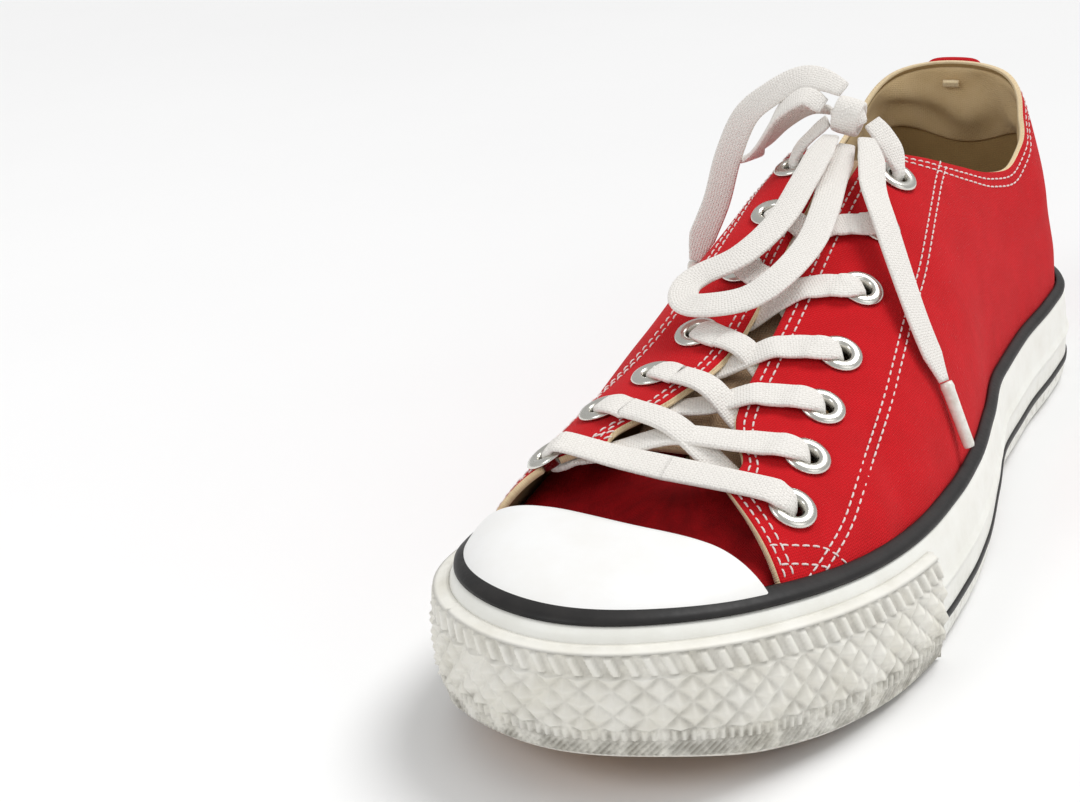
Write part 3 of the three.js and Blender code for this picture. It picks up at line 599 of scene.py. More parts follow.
def patches(tree, vector, scale, low=0.35, high=0.65):
    values = {"Scale": scale, "Low": low, "High": high}
    return add_node(tree, "ShaderNodeGroup", values, {"Vector": vector}, node_tree=MOTTLE).outputs["Patches"]


def add_bump(tree, shader, height, strength, depth):
    inputs = {"Strength": strength, "Distance": depth * MM}
    bump = add_node(tree, "ShaderNodeBump", inputs, {"Height": height})
    tree.links.new(bump.outputs["Normal"], shader.inputs["Normal"])


def cloth(name, colour, dark, faded, threads, depth, gap_share, sheen, flat=False):
    """Woven cloth on the piece's own UV, in centimetres, or on its Object coordinates when it lies flat."""
    material, tree, shader, coords = start_material(name, 0.92, sheen=sheen, specular=0.2)
    colour, dark, faded = srgb(*colour), srgb(*dark), srgb(*faded)
    where = coords.outputs["UV"]
    if flat:
        place = {0: coords.outputs["Object"]}
        scaled = add_node(tree, "ShaderNodeVectorMath", links=place, operation="SCALE")
        scaled.inputs["Scale"].default_value = 0.1 / MM
        where = scaled.outputs["Vector"]
    weave = add_node(tree, "ShaderNodeGroup", {"Threads per cm": threads}, {"Vector": where}, node_tree=WOVEN)
    tone = mix_colour(tree, patches(tree, where, 1.1), colour, faded)
    shaded = mix_colour(tree, times(tree, weave.outputs["Gaps"], gap_share), tone, dark)
    fluff = patches(tree, where, 22.0, 0.3, 0.75)
    final = mix_colour(tree, times(tree, fluff, 0.16), shaded, dark)
    tree.links.new(final, shader.inputs["Base Color"])
    add_bump(tree, shader, plus(tree, weave.outputs["Height"], times(tree, fluff, 0.5)), 0.6, depth)
    return material


def rubber(name, colour, worn, roughness, grain=90.0, low_tint=None, low_tint_top=0.0, specular=0.5):
    """Rubber on Object coordinates, with faint marks, and a patchy darker tint towards the floor when asked
    for.
    """
    material, tree, shader, coords = start_material(name, roughness, specular=specular)
    where = coords.outputs["Object"]
    tone = mix_colour(tree, patches(tree, where, grain, 0.4, 0.7), srgb(*colour), srgb(*worn))
    # Darker towards the floor, in patches.
    if low_tint:
        height = add_node(tree, "ShaderNodeSeparateXYZ", links={0: where}).outputs["Z"]
        reach = {"From Min": low_tint_top * MM, "From Max": 0.0}
        low = add_node(tree, "ShaderNodeMapRange", reach, {"Value": height}).outputs["Result"]
        spots = patches(tree, where, 420.0, 0.45, 0.62)
        tone = mix_colour(tree, times(tree, low, times(tree, spots, 0.55)), tone, srgb(*low_tint))
    tree.links.new(tone, shader.inputs["Base Color"])
    noise = add_node(tree, "ShaderNodeTexNoise", {"Scale": 900.0, "Detail": 3.0}, {"Vector": where})
    fine = noise.outputs["Fac"]
    tree.links.new(plus(tree, times(tree, fine, 0.2), roughness - 0.1), shader.inputs["Roughness"])
    add_bump(tree, shader, fine, 0.25, 0.1)
    return material


def paint_groove_shade(material, attribute, colour, share):
    """Painted shade in the hollows of a moulded face, where the piece's own attribute says how deep they are.
    """
    tree = material.node_tree
    shader = tree.nodes["Principled BSDF"]
    source = shader.inputs["Base Color"].links[0].from_socket
    depth = add_node(tree, "ShaderNodeAttribute", attribute_name=attribute)
    coords = next(n for n in tree.nodes if n.type == "TEX_COORD")
    spots = patches(tree, coords.outputs["Object"], 160.0, 0.4, 0.62)
    amount = times(tree, times(tree, depth.outputs["Fac"], spots), share, clamp=True)
    tree.links.new(mix_colour(tree, amount, source, srgb(*colour)), shader.inputs["Base Color"])


# name, colour, dark between the threads, faded colour, threads per cm, depth, share of the gaps, sheen
RED = cloth("red canvas", (216, 16, 28), (120, 6, 12), (206, 14, 24), 16, 0.18, 0.3, 0.04)
# The vamp's canvas is the red canvas painted darker: painted shade for the vamp lying low in the throat.
SHADED_VAMP_RED = cloth("vamp canvas in painted shade", (178, 12, 20), (96, 4, 8), (150, 8, 16), 16, 0.2, 0.35, 0)
RED_STRIP = cloth("red canvas strip", (206, 16, 28), (120, 6, 12), (206, 16, 28), 16, 0.18, 0.3, 0.04)
# The inner lining of the quarters and tongue is the cream canvas of the collar lining painted darker: painted
# shade inside the shoe.
SHADED_LINING = cloth("canvas lining in painted shade", (168, 138, 92), (120, 94, 58), (176, 146, 98), 16, 0.12, 0.25, 0.05)
COLLAR_LINING = cloth(
    "collar lining", (214, 186, 140), (170, 138, 92), (222, 196, 152), 16, 0.14, 0.25, 0.1)
RAW_EDGE = cloth("raw canvas edge", (250, 232, 190), (200, 150, 110), (250, 232, 190), 20, 0.25, 0.45, 0.15)
TONGUE_CLOTH = cloth("tongue canvas", (190, 160, 128), (110, 80, 56), (190, 160, 128), 13, 0.25, 0.45, 0.15)
# The insole's cream cloth is painted a darker brown: painted shade at the bottom of the shoe.
SHADED_INSOLE_CLOTH = cloth(
    "insole cloth in painted shade", (150, 122, 84), (96, 76, 48), (150, 122, 84), 12, 0.2, 0.45, 0.15, flat=True)
LACE = cloth("lace cotton", (247, 244, 239), (206, 197, 186), (247, 244, 239), 14, 0.3, 0.32, 0.05)
THREAD = cloth("sewing thread", (252, 240, 236), (200, 176, 170), (252, 240, 236), 40, 0.05, 0.2, 0.15)
# name, colour, worn colour, roughness
BAND_RUBBER = rubber(
    "band rubber", (240, 240, 234), (232, 231, 223), 0.42, low_tint=(150, 144, 126), low_tint_top=14)
BUMPER_RUBBER = rubber(
    "bumper rubber", (236, 234, 226), (228, 225, 214), 0.5, low_tint=(120, 112, 92), low_tint_top=18)
CAP_RUBBER = rubber("cap rubber", (244, 244, 243), (240, 239, 236), 0.38, 60)
BLACK_RUBBER = rubber("black rubber", (30, 29, 29), (42, 40, 39), 0.5, specular=0.3)
SOLE_RUBBER = rubber("sole rubber", (178, 138, 92), (140, 104, 66), 0.6, low_tint=(84, 70, 54), low_tint_top=6)


def metal_material():
    material, tree, shader, coords = start_material("eyelet metal", 0.28, metallic=1.0)
    where = {"Vector": coords.outputs["Object"]}
    scratch = add_node(tree, "ShaderNodeTexNoise", {"Scale": 160.0, "Detail": 2.0}, where).outputs["Fac"]
    tone = mix_colour(tree, scratch, srgb(232, 231, 224), srgb(206, 204, 196))
    tree.links.new(tone, shader.inputs["Base Color"])
    tree.links.new(plus(tree, times(tree, scratch, 0.12), 0.2), shader.inputs["Roughness"])
    return material


def film_material():
    material, tree, shader, coords = start_material("aglet film", 0.22, coat=0.4)
    weave = patches(tree, coords.outputs["Object"], 600.0)
    tone = mix_colour(tree, weave, srgb(244, 242, 236), srgb(224, 219, 208))
    tree.links.new(tone, shader.inputs["Base Color"])
    return material


METAL = metal_material()
FILM = film_material()

# ------------------------------------------------------------------ laces

KNOT_AT = np.array([1.5, 31.5, 103.4])


def face_blend(points, first, last):
    t = np.linspace(0, 1, len(points))[:, None]
    return unit(mix(np.array(first, float), np.array(last, float), t))


# name: route, way the flat side faces at the start and at the end, far end
BOW = {
    "lace_end_outer": (
        [(8.4, 24.6, 99), (11.6, 18.4, 95.6), (15, 8.5, 91), (20.9, -2, 85.4), (27.6, -11, 75.6),
         (34.6, -18.4, 64), (41.4, -22.2, 51.4)],
        (0.5, -0.5, 0.7), (0.95, -0.2, 0.3), "fitting"),
    "lace_end_inner": (
        [(0, 32.6, 110.4), (-6, 33.6, 112.6), (-12.4, 33.6, 113), (-20.4, 31.6, 109), (-27.6, 30.4, 103),
         (-32.6, 28.8, 92), (-36, 26.8, 79.4), (-40, 24, 69), (-41.8, 22.4, 62.8)],
        (0.1, -0.6, 0.8), (0.3, -0.9, 0.3), "fitting"),
    "lace_loop_1": (
        [(2.6, 25.4, 96.8), (3.4, 12, 92), (6, -4, 88), (6.8, -18, 83.8), (4, -32, 79.6), (-2, -39.4, 76),
         (-11.2, -43, 74.6), (-17.6, -41.6, 74.4), (-20, -36, 76), (-17.6, -30.8, 78), (-8.8, -25, 81.8),
         (-3.4, -12, 87), (-2.2, 4, 92.8), (-2, 18, 97.2), (-1.6, 25.2, 99.2)],
        (0.2, -0.6, 1), (0, -0.4, 1), "object"),
    "lace_loop_2": (
        [(-4.6, 29, 106.6), (-10, 28.6, 109.4), (-17, 28.4, 105), (-22.2, 30.2, 97), (-26.4, 32, 91.4),
         (-28.4, 35.6, 90.2), (-26, 39.2, 92.4), (-21, 40, 98), (-13.4, 39.4, 103), (-5, 36.6, 103.8)],
        (-0.2, -0.6, 0.9), (-0.3, 0.7, 0.7), "object"),
}
AGLETS = {
    "aglet_outer": ((42.2, -22, 50), (48.4, -24.6, 35.4), "lace_end_outer"),
    "aglet_inner": ((-42.2, 22, 61.4), (-45.4, 19, 44), "lace_end_inner"),
}

# distance along the tip, radius
TIP_START = [(-1.2, 0.2), (-1.2, 1.5), (0.2, 1.75), (1, 1.6)]
TIP_SIDES = 20


def make_aglet(name, start, end):
    start, end = np.array(start, float), np.array(end, float)
    way = unit(end - start)
    side = unit(np.cross(way, (0, 0.3, 1)))
    up = np.cross(way, side)
    length = np.linalg.norm(end - start)
    rings = TIP_START + [(length / 2, 1.5), (length - 1, 1.45), (length - 0.2, 1.2), (length, 0.2)]
    angle = np.linspace(0, 2 * np.pi, TIP_SIDES, endpoint=False)
    points = [start + way * d + r * (np.cos(a) * side + np.sin(a) * up) for d, r in rings for a in angle]
    piece = make_mesh(name, points, tube_faces(len(rings), TIP_SIDES), [FILM])
    recalculate(piece)
    return piece


def pinched(count, steps, least):
    """Shares of the full width, from the least one at the start to full after some steps."""
    return least + (1 - least) * np.minimum(np.arange(count), steps) / steps


AT_KNOT, AT_TIP = (8, 0.62), (7, 0.45)


def make_bow():
    tips = {}
    for name, (start, end, owner) in AGLETS.items():
        tips[owner] = make_aglet(name + "_film", start, end)
        hand_over(tips[owner], "aglet_plastic", name)
    for name, (route, first, last, far_end) in BOW.items():
        places = smooth_path(route, 1.0)
        count = len(places)
        widths = LACE_WIDTH * pinched(count, *AT_KNOT)
        widths *= pinched(count, *(AT_KNOT if far_end == "object" else AT_TIP))[::-1]
        lace = ribbon_mesh(name + "_woven", places, face_blend(places, first, last), widths)
        hand_over(lace, "lace_cotton", name)


make_bow()

LACE_UNDER = -(CANVAS + CLEARANCE + LACE_THICK / 2 + 0.1)
LACE_OVER = CLEARANCE + LACE_THICK / 2
OVER_EYELET = LACE_OVER + 1.0
# way, distance from the hole, height, how far the flat side faces along that way and up, width
DOWN_THROUGH = [
    ("came", 6.4, OVER_EYELET - 0.1, 0, 1, 7.6), ("came", 3.4, OVER_EYELET, -0.15, 1, 7.2),
    ("came", 1.3, OVER_EYELET - 0.5, -0.8, 1, 5.8), ("came", 0.2, OVER_EYELET - 2.2, -1, 0.1, 4.4),
    ("came", -0.2, LACE_UNDER + 0.6, -1, -0.3, 4.0), ("away", 2.2, LACE_UNDER - 0.6, -0.6, -1, 4.6),
]
UP_THROUGH = [
    ("away", 1.5, LACE_UNDER - 0.4, 1, 1, 4.4), ("away", 0, LACE_UNDER + 1.4, 1, 0.2, 4.4),
    ("away", 0, 0.4, 1, 0, 4.4), ("away", 0.5, OVER_EYELET - 0.2, 1, -0.5, 4.4),
]
# x, y, z, the way that the flat side faces, width
LEADS = {
    "outer": [(13.8, 30.4, 94.2, 0.7, -0.5, 0.5, 7), (10.6, 31.8, 98.6, 0.8, -0.5, 0.4, 7),
              (7.6, 32.4, 101.8, 0.8, -0.5, 0.3, 5.6)],
    "inner": [(-11, 28, 95.6, -0.7, -0.5, 0.5, 7), (-7.8, 30.4, 99, -0.8, -0.5, 0.4, 7),
              (-4.4, 31.4, 102, -0.8, -0.5, 0.3, 5.6)],
}


def eyelet_frames():
    table = np.array(EYELETS, float)
    outer = seat(table[:, 0], table[:, 1])
    inner = seat(table[:, 2], table[:, 3])
    return {"outer": list(zip(*outer)), "inner": list(zip(*inner))}


SEATS = eyelet_frames()
OTHER = {"outer": "inner", "inner": "outer"}


def through_eyelet(stops, frame_at, ways, flip):
    """The lace's places at an eyelet, from a table of stops."""
    place, normal = frame_at
    rows = []
    for way, distance, height, face_along, face_up, width in stops:
        at = place + ways[way] * distance + normal * height
        rows.append(np.r_[at, unit(ways[way] * face_along + normal * face_up) * flip, width])
    return rows


def towards(frame_at, target):
    place, normal = frame_at
    way = target - place
    return unit(way - normal * np.dot(way, normal))


def strand(start, end, over_side, flip):
    """From under one quarter, up through the throat, to the top of the other."""
    a, b = start[0], end[0]
    middle_y = (a[1] + b[1]) / 2
    ridge_x = float(along(RIDGE, 1, middle_y))
    throat = float(along(OPENING, 1, np.clip(middle_y, -76, 0)))
    span = np.linalg.norm(b - a)
    out = np.sign(a[0] - b[0])
    lift = 1.5 if over_side == "inner" else -0.2
    def share_at(x):
        return (x - a[0]) / (b[0] - a[0])

    leaves, arrives = share_at(ridge_x - out * (throat + 1.6)), 1 - 9 / span
    # share of the way, height over the canvas, width
    stops = [
        (6 / span, LACE_UNDER, 6.0), (share_at(ridge_x + out * (throat + 2.4)), LACE_UNDER, 6.4),
        (share_at(ridge_x), lift, 6.8), (leaves, LACE_OVER + 0.9, 7.2),
        ((leaves + arrives) / 2, LACE_OVER + 0.7, LACE_WIDTH), (arrives, LACE_OVER + 0.6, LACE_WIDTH),
    ]
    rows = []
    for share, height, width in stops:
        place, normal = seat(mix(a[0], b[0], share), mix(a[1], b[1], share))
        rows.append(np.r_[place + normal * height, normal * flip, width])
    return rows


BAR_LIFT, BAR_SHOULDER = 3.4, 3.6


def lace_half(first_side):
    """One half of the lace, from the middle of the straight bar up to the knot."""
    bottom = len(EYELETS) - 1
    a, b = SEATS[first_side][bottom][0], SEATS[OTHER[first_side]][bottom][0]
    middle = (a + b) / 2 + np.array([0, 0, BAR_LIFT])
    shoulder = mix(a, b, 0.28) + np.array([0, 0, BAR_SHOULDER])
    leaning = unit(SEATS[first_side][bottom][1] + np.array([0, -0.2, 1]))
    rows = [np.r_[middle, 0, -0.3, 1, LACE_WIDTH], np.r_[shoulder, leaning, LACE_WIDTH]]
    side, flip, came_from = first_side, 1, b
    for row in range(bottom, 0, -1):
        here, there = SEATS[side][row], SEATS[OTHER[side]][row - 1]
        ways = {"came": towards(here, came_from), "away": towards(here, there[0])}
        rows += through_eyelet(DOWN_THROUGH, here, ways, flip)
        flip = -flip
        side = OTHER[side]
        came_from = here[0]
        rows += strand(here, there, side, flip) if row > 1 else crossing_below(here, there, flip)
    lead = LEADS[side]
    top = SEATS[side][0]
    rows += through_eyelet(UP_THROUGH, top, {"away": towards(top, np.array(lead[-1][:3]))}, flip)
    rows += [np.r_[x, y, z, unit((fx, fy, fz)) * -flip, width] for x, y, z, fx, fy, fz, width in lead]
    return smooth_path(rows, 0.9)


def crossing_below(start, end, flip):
    """The last crossing lies wholly under the quarters."""
    rows = []
    for share in (0.2, 0.5, 0.8):
        place, normal = seat(mix(start[0][0], end[0][0], share), mix(start[0][1], end[0][1], share))
        depth = LACE_UNDER - (0.3 if share == 0.5 else 0)
        rows.append(np.r_[place + normal * depth, normal * flip, 6.6])
    return rows


def join(pieces, name):
    bpy.ops.object.select_all(action="DESELECT")
    for piece in pieces:
        piece.select_set(True)
    bpy.context.view_layer.objects.active = pieces[0]
    bpy.ops.object.join()
    pieces[0].name = name
    pieces[0].data.name = name
    pieces[0].select_set(False)
    return pieces[0]


NARROW, NARROW_THICK, BLUR = 5.2, 2.4, 7


def make_lacing():
    """A lace squeezed narrow in an eyelet grows thicker there."""
    halves = []
    for side in ("outer", "inner"):
        rows = lace_half(side)
        thick = np.where(rows[:, 6] < NARROW, NARROW_THICK, LACE_THICK)
        thick = np.convolve(np.pad(thick, BLUR // 2, mode="edge"), np.ones(BLUR) / BLUR, mode="valid")
        halves.append(ribbon_mesh("lace_" + side, rows[:, :3], rows[:, 3:6], rows[:, 6], thick))
    hand_over(join(halves, "lacing"), "lace_cotton", "lace_crossings", "lace_lead_outer", "lace_lead_inner")


make_lacing()

# tilt, half width, half height, width of the lace
KNOT_BANDS = [(0.25, 5.4, 4.2, 7.4), (1.25, 5.0, 3.6, 6.4), (-0.7, 4.4, 3.4, 6.0)]
KNOT_STEPS, KNOT_THICK, KNOT_DEPTH = 48, 1.7, 0.72


def make_knot():
    """The tied middle of the bow: bands of lace drawn tight round the crossing of its loops."""
    bands = []
    angle = np.linspace(0, 2 * np.pi, KNOT_STEPS + 1)[:-1]
    for tilt, half_wide, half_high, width in KNOT_BANDS:
        high, deep = np.sin(angle) * half_high, np.cos(angle) * half_wide * KNOT_DEPTH
        ring = np.stack([high * math.sin(tilt), deep, high * math.cos(tilt)], -1)
        ring = np.vstack([ring, ring[:1]])
        bands.append(ribbon_mesh("band", ring + KNOT_AT, unit(ring), np.full(len(ring), width), KNOT_THICK))
    hand_over(join(bands, "knot"), "lace_cotton", "lace_knot")


make_knot()

# ------------------------------------------------------------------ eyelets

# radius, height
EYELET_SHAPE = [(2.6, -2.2), (2.6, 0.6), (2.9, 1.1), (3.6, 1.35), (4.4, 1.35), (5.2, 1.1), (5.65, 0.6),
                (5.6, 0.3), (4.6, 0.3), (3.2, 0.3), (3.2, -2.2)]


def master_eyelet():
    """A rolled metal ring, drawn up and out from one circle and closed on itself."""
    radius, height = EYELET_SHAPE[0]
    bpy.ops.mesh.primitive_circle_add(vertices=40, radius=radius * MM, location=(0, 0, height * MM))
    piece = bpy.context.object
    bpy.ops.object.transform_apply(location=True)
    bpy.ops.object.mode_set(mode="EDIT")
    bpy.ops.mesh.select_all(action="SELECT")
    for (r0, h0), (r1, h1) in zip(EYELET_SHAPE, EYELET_SHAPE[1:]):
        bpy.ops.mesh.extrude_edges_move(TRANSFORM_OT_translate={"value": (0, 0, (h1 - h0) * MM)})
        bpy.ops.transform.resize(value=(r1 / r0, r1 / r0, 1), center_override=(0, 0, h1 * MM))
    bpy.ops.mesh.select_all(action="SELECT")
    bpy.ops.mesh.remove_doubles(threshold=1e-6)
    bpy.ops.object.mode_set(mode="OBJECT")
    work = bmesh.new()
    work.from_mesh(piece.data)
    open_edges = [edge for edge in work.edges if len(edge.link_faces) == 1]
    bmesh.ops.bridge_loops(work, edges=open_edges)
    bmesh.ops.recalc_face_normals(work, faces=work.faces)
    work.to_mesh(piece.data)
    work.free()
    piece.select_set(False)
    return piece


def make_eyelets():
    master = master_eyelet()
    frames = [(f"eyelet_{side}_{i + 1}", SEATS[side][i]) for i in range(len(EYELETS)) for side in SEATS]
    for i, (y, height) in enumerate(VENTS):
        turn = turn_of(-1, float(y))
        frames.append((f"vent_eyelet_{i + 1}", frame_of(turn, rise_at(turn, float(height), 0.0))))
    for name, (place, normal) in frames:
        ring = master.copy()
        ring.data = master.data.copy()
        ring.name = name + "_ring"
        scene.collection.objects.link(ring)
        turn = Vector((0, 0, 1)).rotation_difference(Vector(normal)).to_matrix().to_4x4()
        ring.data.transform(Matrix.Translation(Vector(place) * MM) @ turn)
        ring.data.materials.clear()
        ring.data.materials.append(METAL)
        ring.data.polygons.foreach_set("use_smooth", [True] * len(ring.data.polygons))
        hand_over(ring, "eyelet_metal", name)
    bpy.data.objects.remove(master)
    return [place for _, (place, _) in frames]


EYELET_PLACES = make_eyelets()

# ------------------------------------------------------------------ upper

QUARTER_FRONT_OUTER, QUARTER_FRONT_INNER = -116.0, -107.0
QUARTER_FROM = float(turn_of(1, QUARTER_FRONT_OUTER))
QUARTER_TO = float(turn_of(-1, QUARTER_FRONT_INNER))


def arc_uv(points):
    """UV in centimetres from a grid's own lengths."""
    across = np.linalg.norm(np.diff(points, axis=1), axis=-1)
    v = np.concatenate([np.zeros((points.shape[0], 1)), np.cumsum(across, 1)], 1)
    u = lengths(points[:, points.shape[1] // 3])
    return np.stack([np.broadcast_to(u[:, None], v.shape), v], -1) / 10


# y, z, angle of the fold from horizontal, half length, half width, height
FOLDS = [
    (-72, 40, 0.9, 16, 5, 0.5), (-60, 46, 1.1, 18, 5, -0.5), (-46, 42, 1.0, 20, 6, 0.4),
    (95, 48, 0.2, 24, 6, -0.5), (70, 44, -0.3, 22, 7, 0.5), (112, 60, 0.5, 16, 5, 0.4),
    (20, 48, 0.6, 26, 9, 0.4), (-10, 52, 0.8, 24, 8, -0.4), (130, 42, 0.1, 18, 5, 0.4),
]
EYELET_HOLE = 3.9


def wrinkles(points):
    """Soft folds of worn canvas."""
    moved = np.zeros(points.shape[:-1])
    for y, z, angle, length, width, height in FOLDS:
        dy, dz = points[..., 1] - y, points[..., 2] - z
        run = dy * math.cos(angle) + dz * math.sin(angle)
        off = -dy * math.sin(angle) + dz * math.cos(angle)
        moved += height * np.exp(-(run / length) ** 2 - (off / width) ** 2)
    return moved


def make_quarters():
    rows, columns = 330, 58
    turn = turn_grid(QUARTER_FROM, QUARTER_TO, rows, columns)
    share = 1 - (1 - np.linspace(0, 1, columns)[None]) ** 1.15
    rise = opening_rise(turn[:, 0])[:, None] * share
    points = quarter_point(turn, rise, 0.0)
    _, normal = frame_of(np.clip(turn, QUARTER_FROM + 3e-3, QUARTER_TO - 3e-3), np.clip(rise, 3e-3, 0.995))
    fade = smooth_step(share / 0.25) * smooth_step((1 - share) / 0.12)
    points = points + normal * (wrinkles(points) * fade)[..., None]
    faces = grid_faces(rows, columns)
    centres = points.reshape(-1, 3)[np.array(faces)].mean(1)
    keep = np.ones(len(faces), bool)
    for place in EYELET_PLACES:
        keep &= np.linalg.norm(centres - place, axis=1) > EYELET_HOLE
    faces = [face for face, good in zip(faces, keep) if good]
    piece = make_mesh("quarters", points, faces, [RED, SHADED_LINING, RAW_EDGE], arc_uv(points))
    solid = piece.modifiers.new("wall", "SOLIDIFY")
    solid.thickness = CANVAS * MM
    solid.offset = -1
    solid.use_even_offset = False
    solid.material_offset = 1
    solid.material_offset_rim = 2
    apply_modifiers(piece)
    hand_over(piece, "red_canvas", "upper")


def vamp_edge(turn):
    """Rise of the vamp's rear edge, out of sight under the tongue."""
    shape = np.shape(turn)
    return crossing(lambda r: 4.0 - from_ridge(turn, r), np.zeros(shape), np.ones(shape))


def vamp_sink(rise):
    """The vamp dips under the quarters towards its rear edge."""
    return 5.0 * np.clip((rise - 0.35) / 0.4, 0, 1) ** 2


# y, slope across the shoe, half width, height
VAMP_CREASES = [(-97, 0.12, 3.2, 1.3), (-90, -0.1, 3.0, -1.0), (-84, 0.08, 2.6, 0.8)]
VAMP_FACES = (-1.9, -3.1)


def make_vamp():
    columns = 60
    turn = turn_grid(float(turn_of(-1, -78.0)) - 1, float(turn_of(1, -84.0)), 150, columns)
    rise = vamp_edge(turn[:, 0])[:, None] * np.linspace(0, 1, columns)[None]

    def face(out):
        points = last_point(turn, rise, out, vamp_sink(rise))
        x, y = points[..., 0], points[..., 1]
        crease = sum(h * np.exp(-((y - at + slope * x) / wide) ** 2) for at, slope, wide, h in VAMP_CREASES)
        points[..., 2] += crease * smooth_step((rise - 0.4) / 0.3) * smooth_step((0.98 - rise) / 0.2)
        return points

    outer, inner = (face(out) for out in VAMP_FACES)
    # The vamp takes the darker red cloth: painted shade.
    hand_over(sheet_mesh("vamp", outer, inner, [SHADED_VAMP_RED], arc_uv(outer)), "red_canvas", "upper")


TONGUE_Y = (-80, 40)
TONGUE_STATIONS, TONGUE_HALF_WIDTHS = (-80, -50, -10, 40), (15, 22, 25, 24)
TONGUE_FACES = (-5.4, -6.8)


def make_tongue():
    ys = np.linspace(*TONGUE_Y, 90)
    half = np.interp(ys, TONGUE_STATIONS, TONGUE_HALF_WIDTHS)
    x = along(RIDGE, 1, ys)[None] + np.linspace(-1, 1, 40)[:, None] * half[None] + 1e-3
    y = np.broadcast_to(ys[None], x.shape)
    place, normal = seat(x, y)
    ripple = 0.5 * np.sin(y / 5.5 + x / 9) * smooth_step((y + 80) / 20)

    def face(depth):
        sunk = np.where(y < -60, depth - 2.4 * smooth_step((-60 - y) / 16), depth)
        return place + normal * (sunk + ripple)[..., None]

    outer, inner = (face(depth) for depth in TONGUE_FACES)
    piece = sheet_mesh("tongue_canvas", outer, inner, [TONGUE_CLOTH, SHADED_LINING, RAW_EDGE], arc_uv(outer))
    hand_over(piece, "natural_canvas", "tongue")


make_quarters()
make_vamp()
make_tongue()

HEEL_STRIP_HALF_TURN = 0.0236


def make_heel_strip():
    rows, columns = 24, 50
    turn = turn_grid(0.5 - HEEL_STRIP_HALF_TURN, 0.5 + HEEL_STRIP_HALF_TURN, rows, columns)
    low = rise_at(turn[:, 0], band_top(y_of(turn[:, 0])) - 1, 1.0)[:, None]
    high = (opening_rise(turn[:, 0]) - 0.012)[:, None]
    rise = mix(low, high, np.linspace(0, 1, columns)[None])
    dome = 1 - np.abs(np.linspace(-1, 1, rows))[:, None] ** 6
    outer = last_point(turn, rise, 0.4 + 1.1 * dome)
    inner = last_point(turn, rise, 0.2)
    piece = sheet_mesh("heel_strip_canvas", outer, inner, [RED_STRIP] * 3, arc_uv(outer))
    hand_over(piece, "red_canvas", "heel_strip")


make_heel_strip()

COLLAR_FROM, COLLAR_TO = 0.325, 0.675
COLLAR_DEPTH, COLLAR_SWAY, COLLAR_RIPPLE = 20, 3.5, 2
COLLAR_LENGTH = 150
TAB_FROM, TAB_TO = 0.492, 0.508
TAB_LOW, TAB_HIGH = 0.04, 0.016


def puckers(s, w):
    """Wrinkles of a loose lining: s along the collar and w down from its edge."""
    upright = 0.9 * np.sin(s / 5.2 + 0.9 * np.sin(w / 4.0)) * np.sin(s / 11.0 + 1.3)
    return upright + 0.7 * np.sin(w / 2.6 + 1.4 * np.sin(s / 9.0)) * np.sin(s / 17.0)


def make_collar_lining():
    """The soft lining round the heel: puffed and wrinkled above the stiff counter."""
    rows, columns = 170, 44
    turn = turn_grid(COLLAR_FROM, COLLAR_TO, rows, columns)
    edge = opening_rise(turn[:, 0])
    at = np.linspace(0, 1, rows)
    drop = COLLAR_DEPTH + COLLAR_SWAY * np.cos((at - 0.5) * 4 * np.pi) + COLLAR_RIPPLE * np.sin(at * 17)
    drop *= smooth_step(at / 0.12) * smooth_step((1 - at) / 0.12) * 0.75 + 0.25
    top = last_point(turn[:, 0], edge, -CANVAS)[:, 2]
    low = rise_at(turn[:, 0], top - drop, -CANVAS)
    share = np.linspace(0, 1, columns)[None]
    rise = mix(low[:, None], edge[:, None] - 0.004, share)
    swell = np.sin(np.pi * np.clip(share, 0, 1)) ** 0.6
    puff = swell * (2.0 + puckers(at[:, None] * COLLAR_LENGTH, share * COLLAR_DEPTH) * 1.5)
    ends = smooth_step(at / 0.06) * smooth_step((1 - at) / 0.06)
    face = last_point(turn, rise, -CANVAS - 0.12 - puff * ends[:, None])
    back = last_point(turn, rise, -CANVAS + 0.25)
    hand_over(sheet_mesh("collar_lining", back, face, [COLLAR_LINING], arc_uv(face)), "natural_canvas")


def make_heel_tab():
    """A short woven loop sewn inside the back of the collar."""
    turn = turn_grid(TAB_FROM, TAB_TO, 9, 7)
    edge = opening_rise(turn[:, 0])[:, None]
    rise = mix(edge - TAB_LOW, edge - TAB_HIGH, np.linspace(0, 1, 7)[None])
    face = last_point(turn, rise, -CANVAS - 3.4)
    back = last_point(turn, rise, -CANVAS - 2.6)
    hand_over(sheet_mesh("heel_tab", back, face, [RAW_EDGE], arc_uv(face)), "natural_canvas")


make_collar_lining()
make_heel_tab()

BINDING_RADIUS, BINDING_DEPTH, BINDING_SIDES = 0.45, 1.25, 8


def make_binding():
    """The cream raw edge rolled over the topline, from the throat round the heel."""
    rows = 500
    turn = np.linspace(QUARTER_FROM + 0.01, QUARTER_TO - 0.01, rows)
    edge = opening_rise(turn)
    _, normal = frame_of(turn, edge - 1e-3)
    up = unit(quarter_point(turn, edge, 0.0) - quarter_point(turn, edge - 0.01, 0.0))
    angle = np.linspace(0, 2 * np.pi, BINDING_SIDES, endpoint=False)
    middle = quarter_point(turn, edge, 0.0) - normal * BINDING_DEPTH
    points = (middle[:, None] + normal[:, None] * (BINDING_RADIUS * np.cos(angle))[None, :, None]
              + up[:, None] * (BINDING_RADIUS * np.sin(angle))[None, :, None])
    uv = np.stack(np.broadcast_arrays(np.arange(rows)[:, None] / 10.0, angle[None] / 12), -1)
    piece = make_mesh("topline_binding", points, tube_faces(rows, BINDING_SIDES), [RAW_EDGE], uv)
    recalculate(piece)
    hand_over(piece, "natural_canvas")


make_binding()

# ------------------------------------------------------------------ toe cap

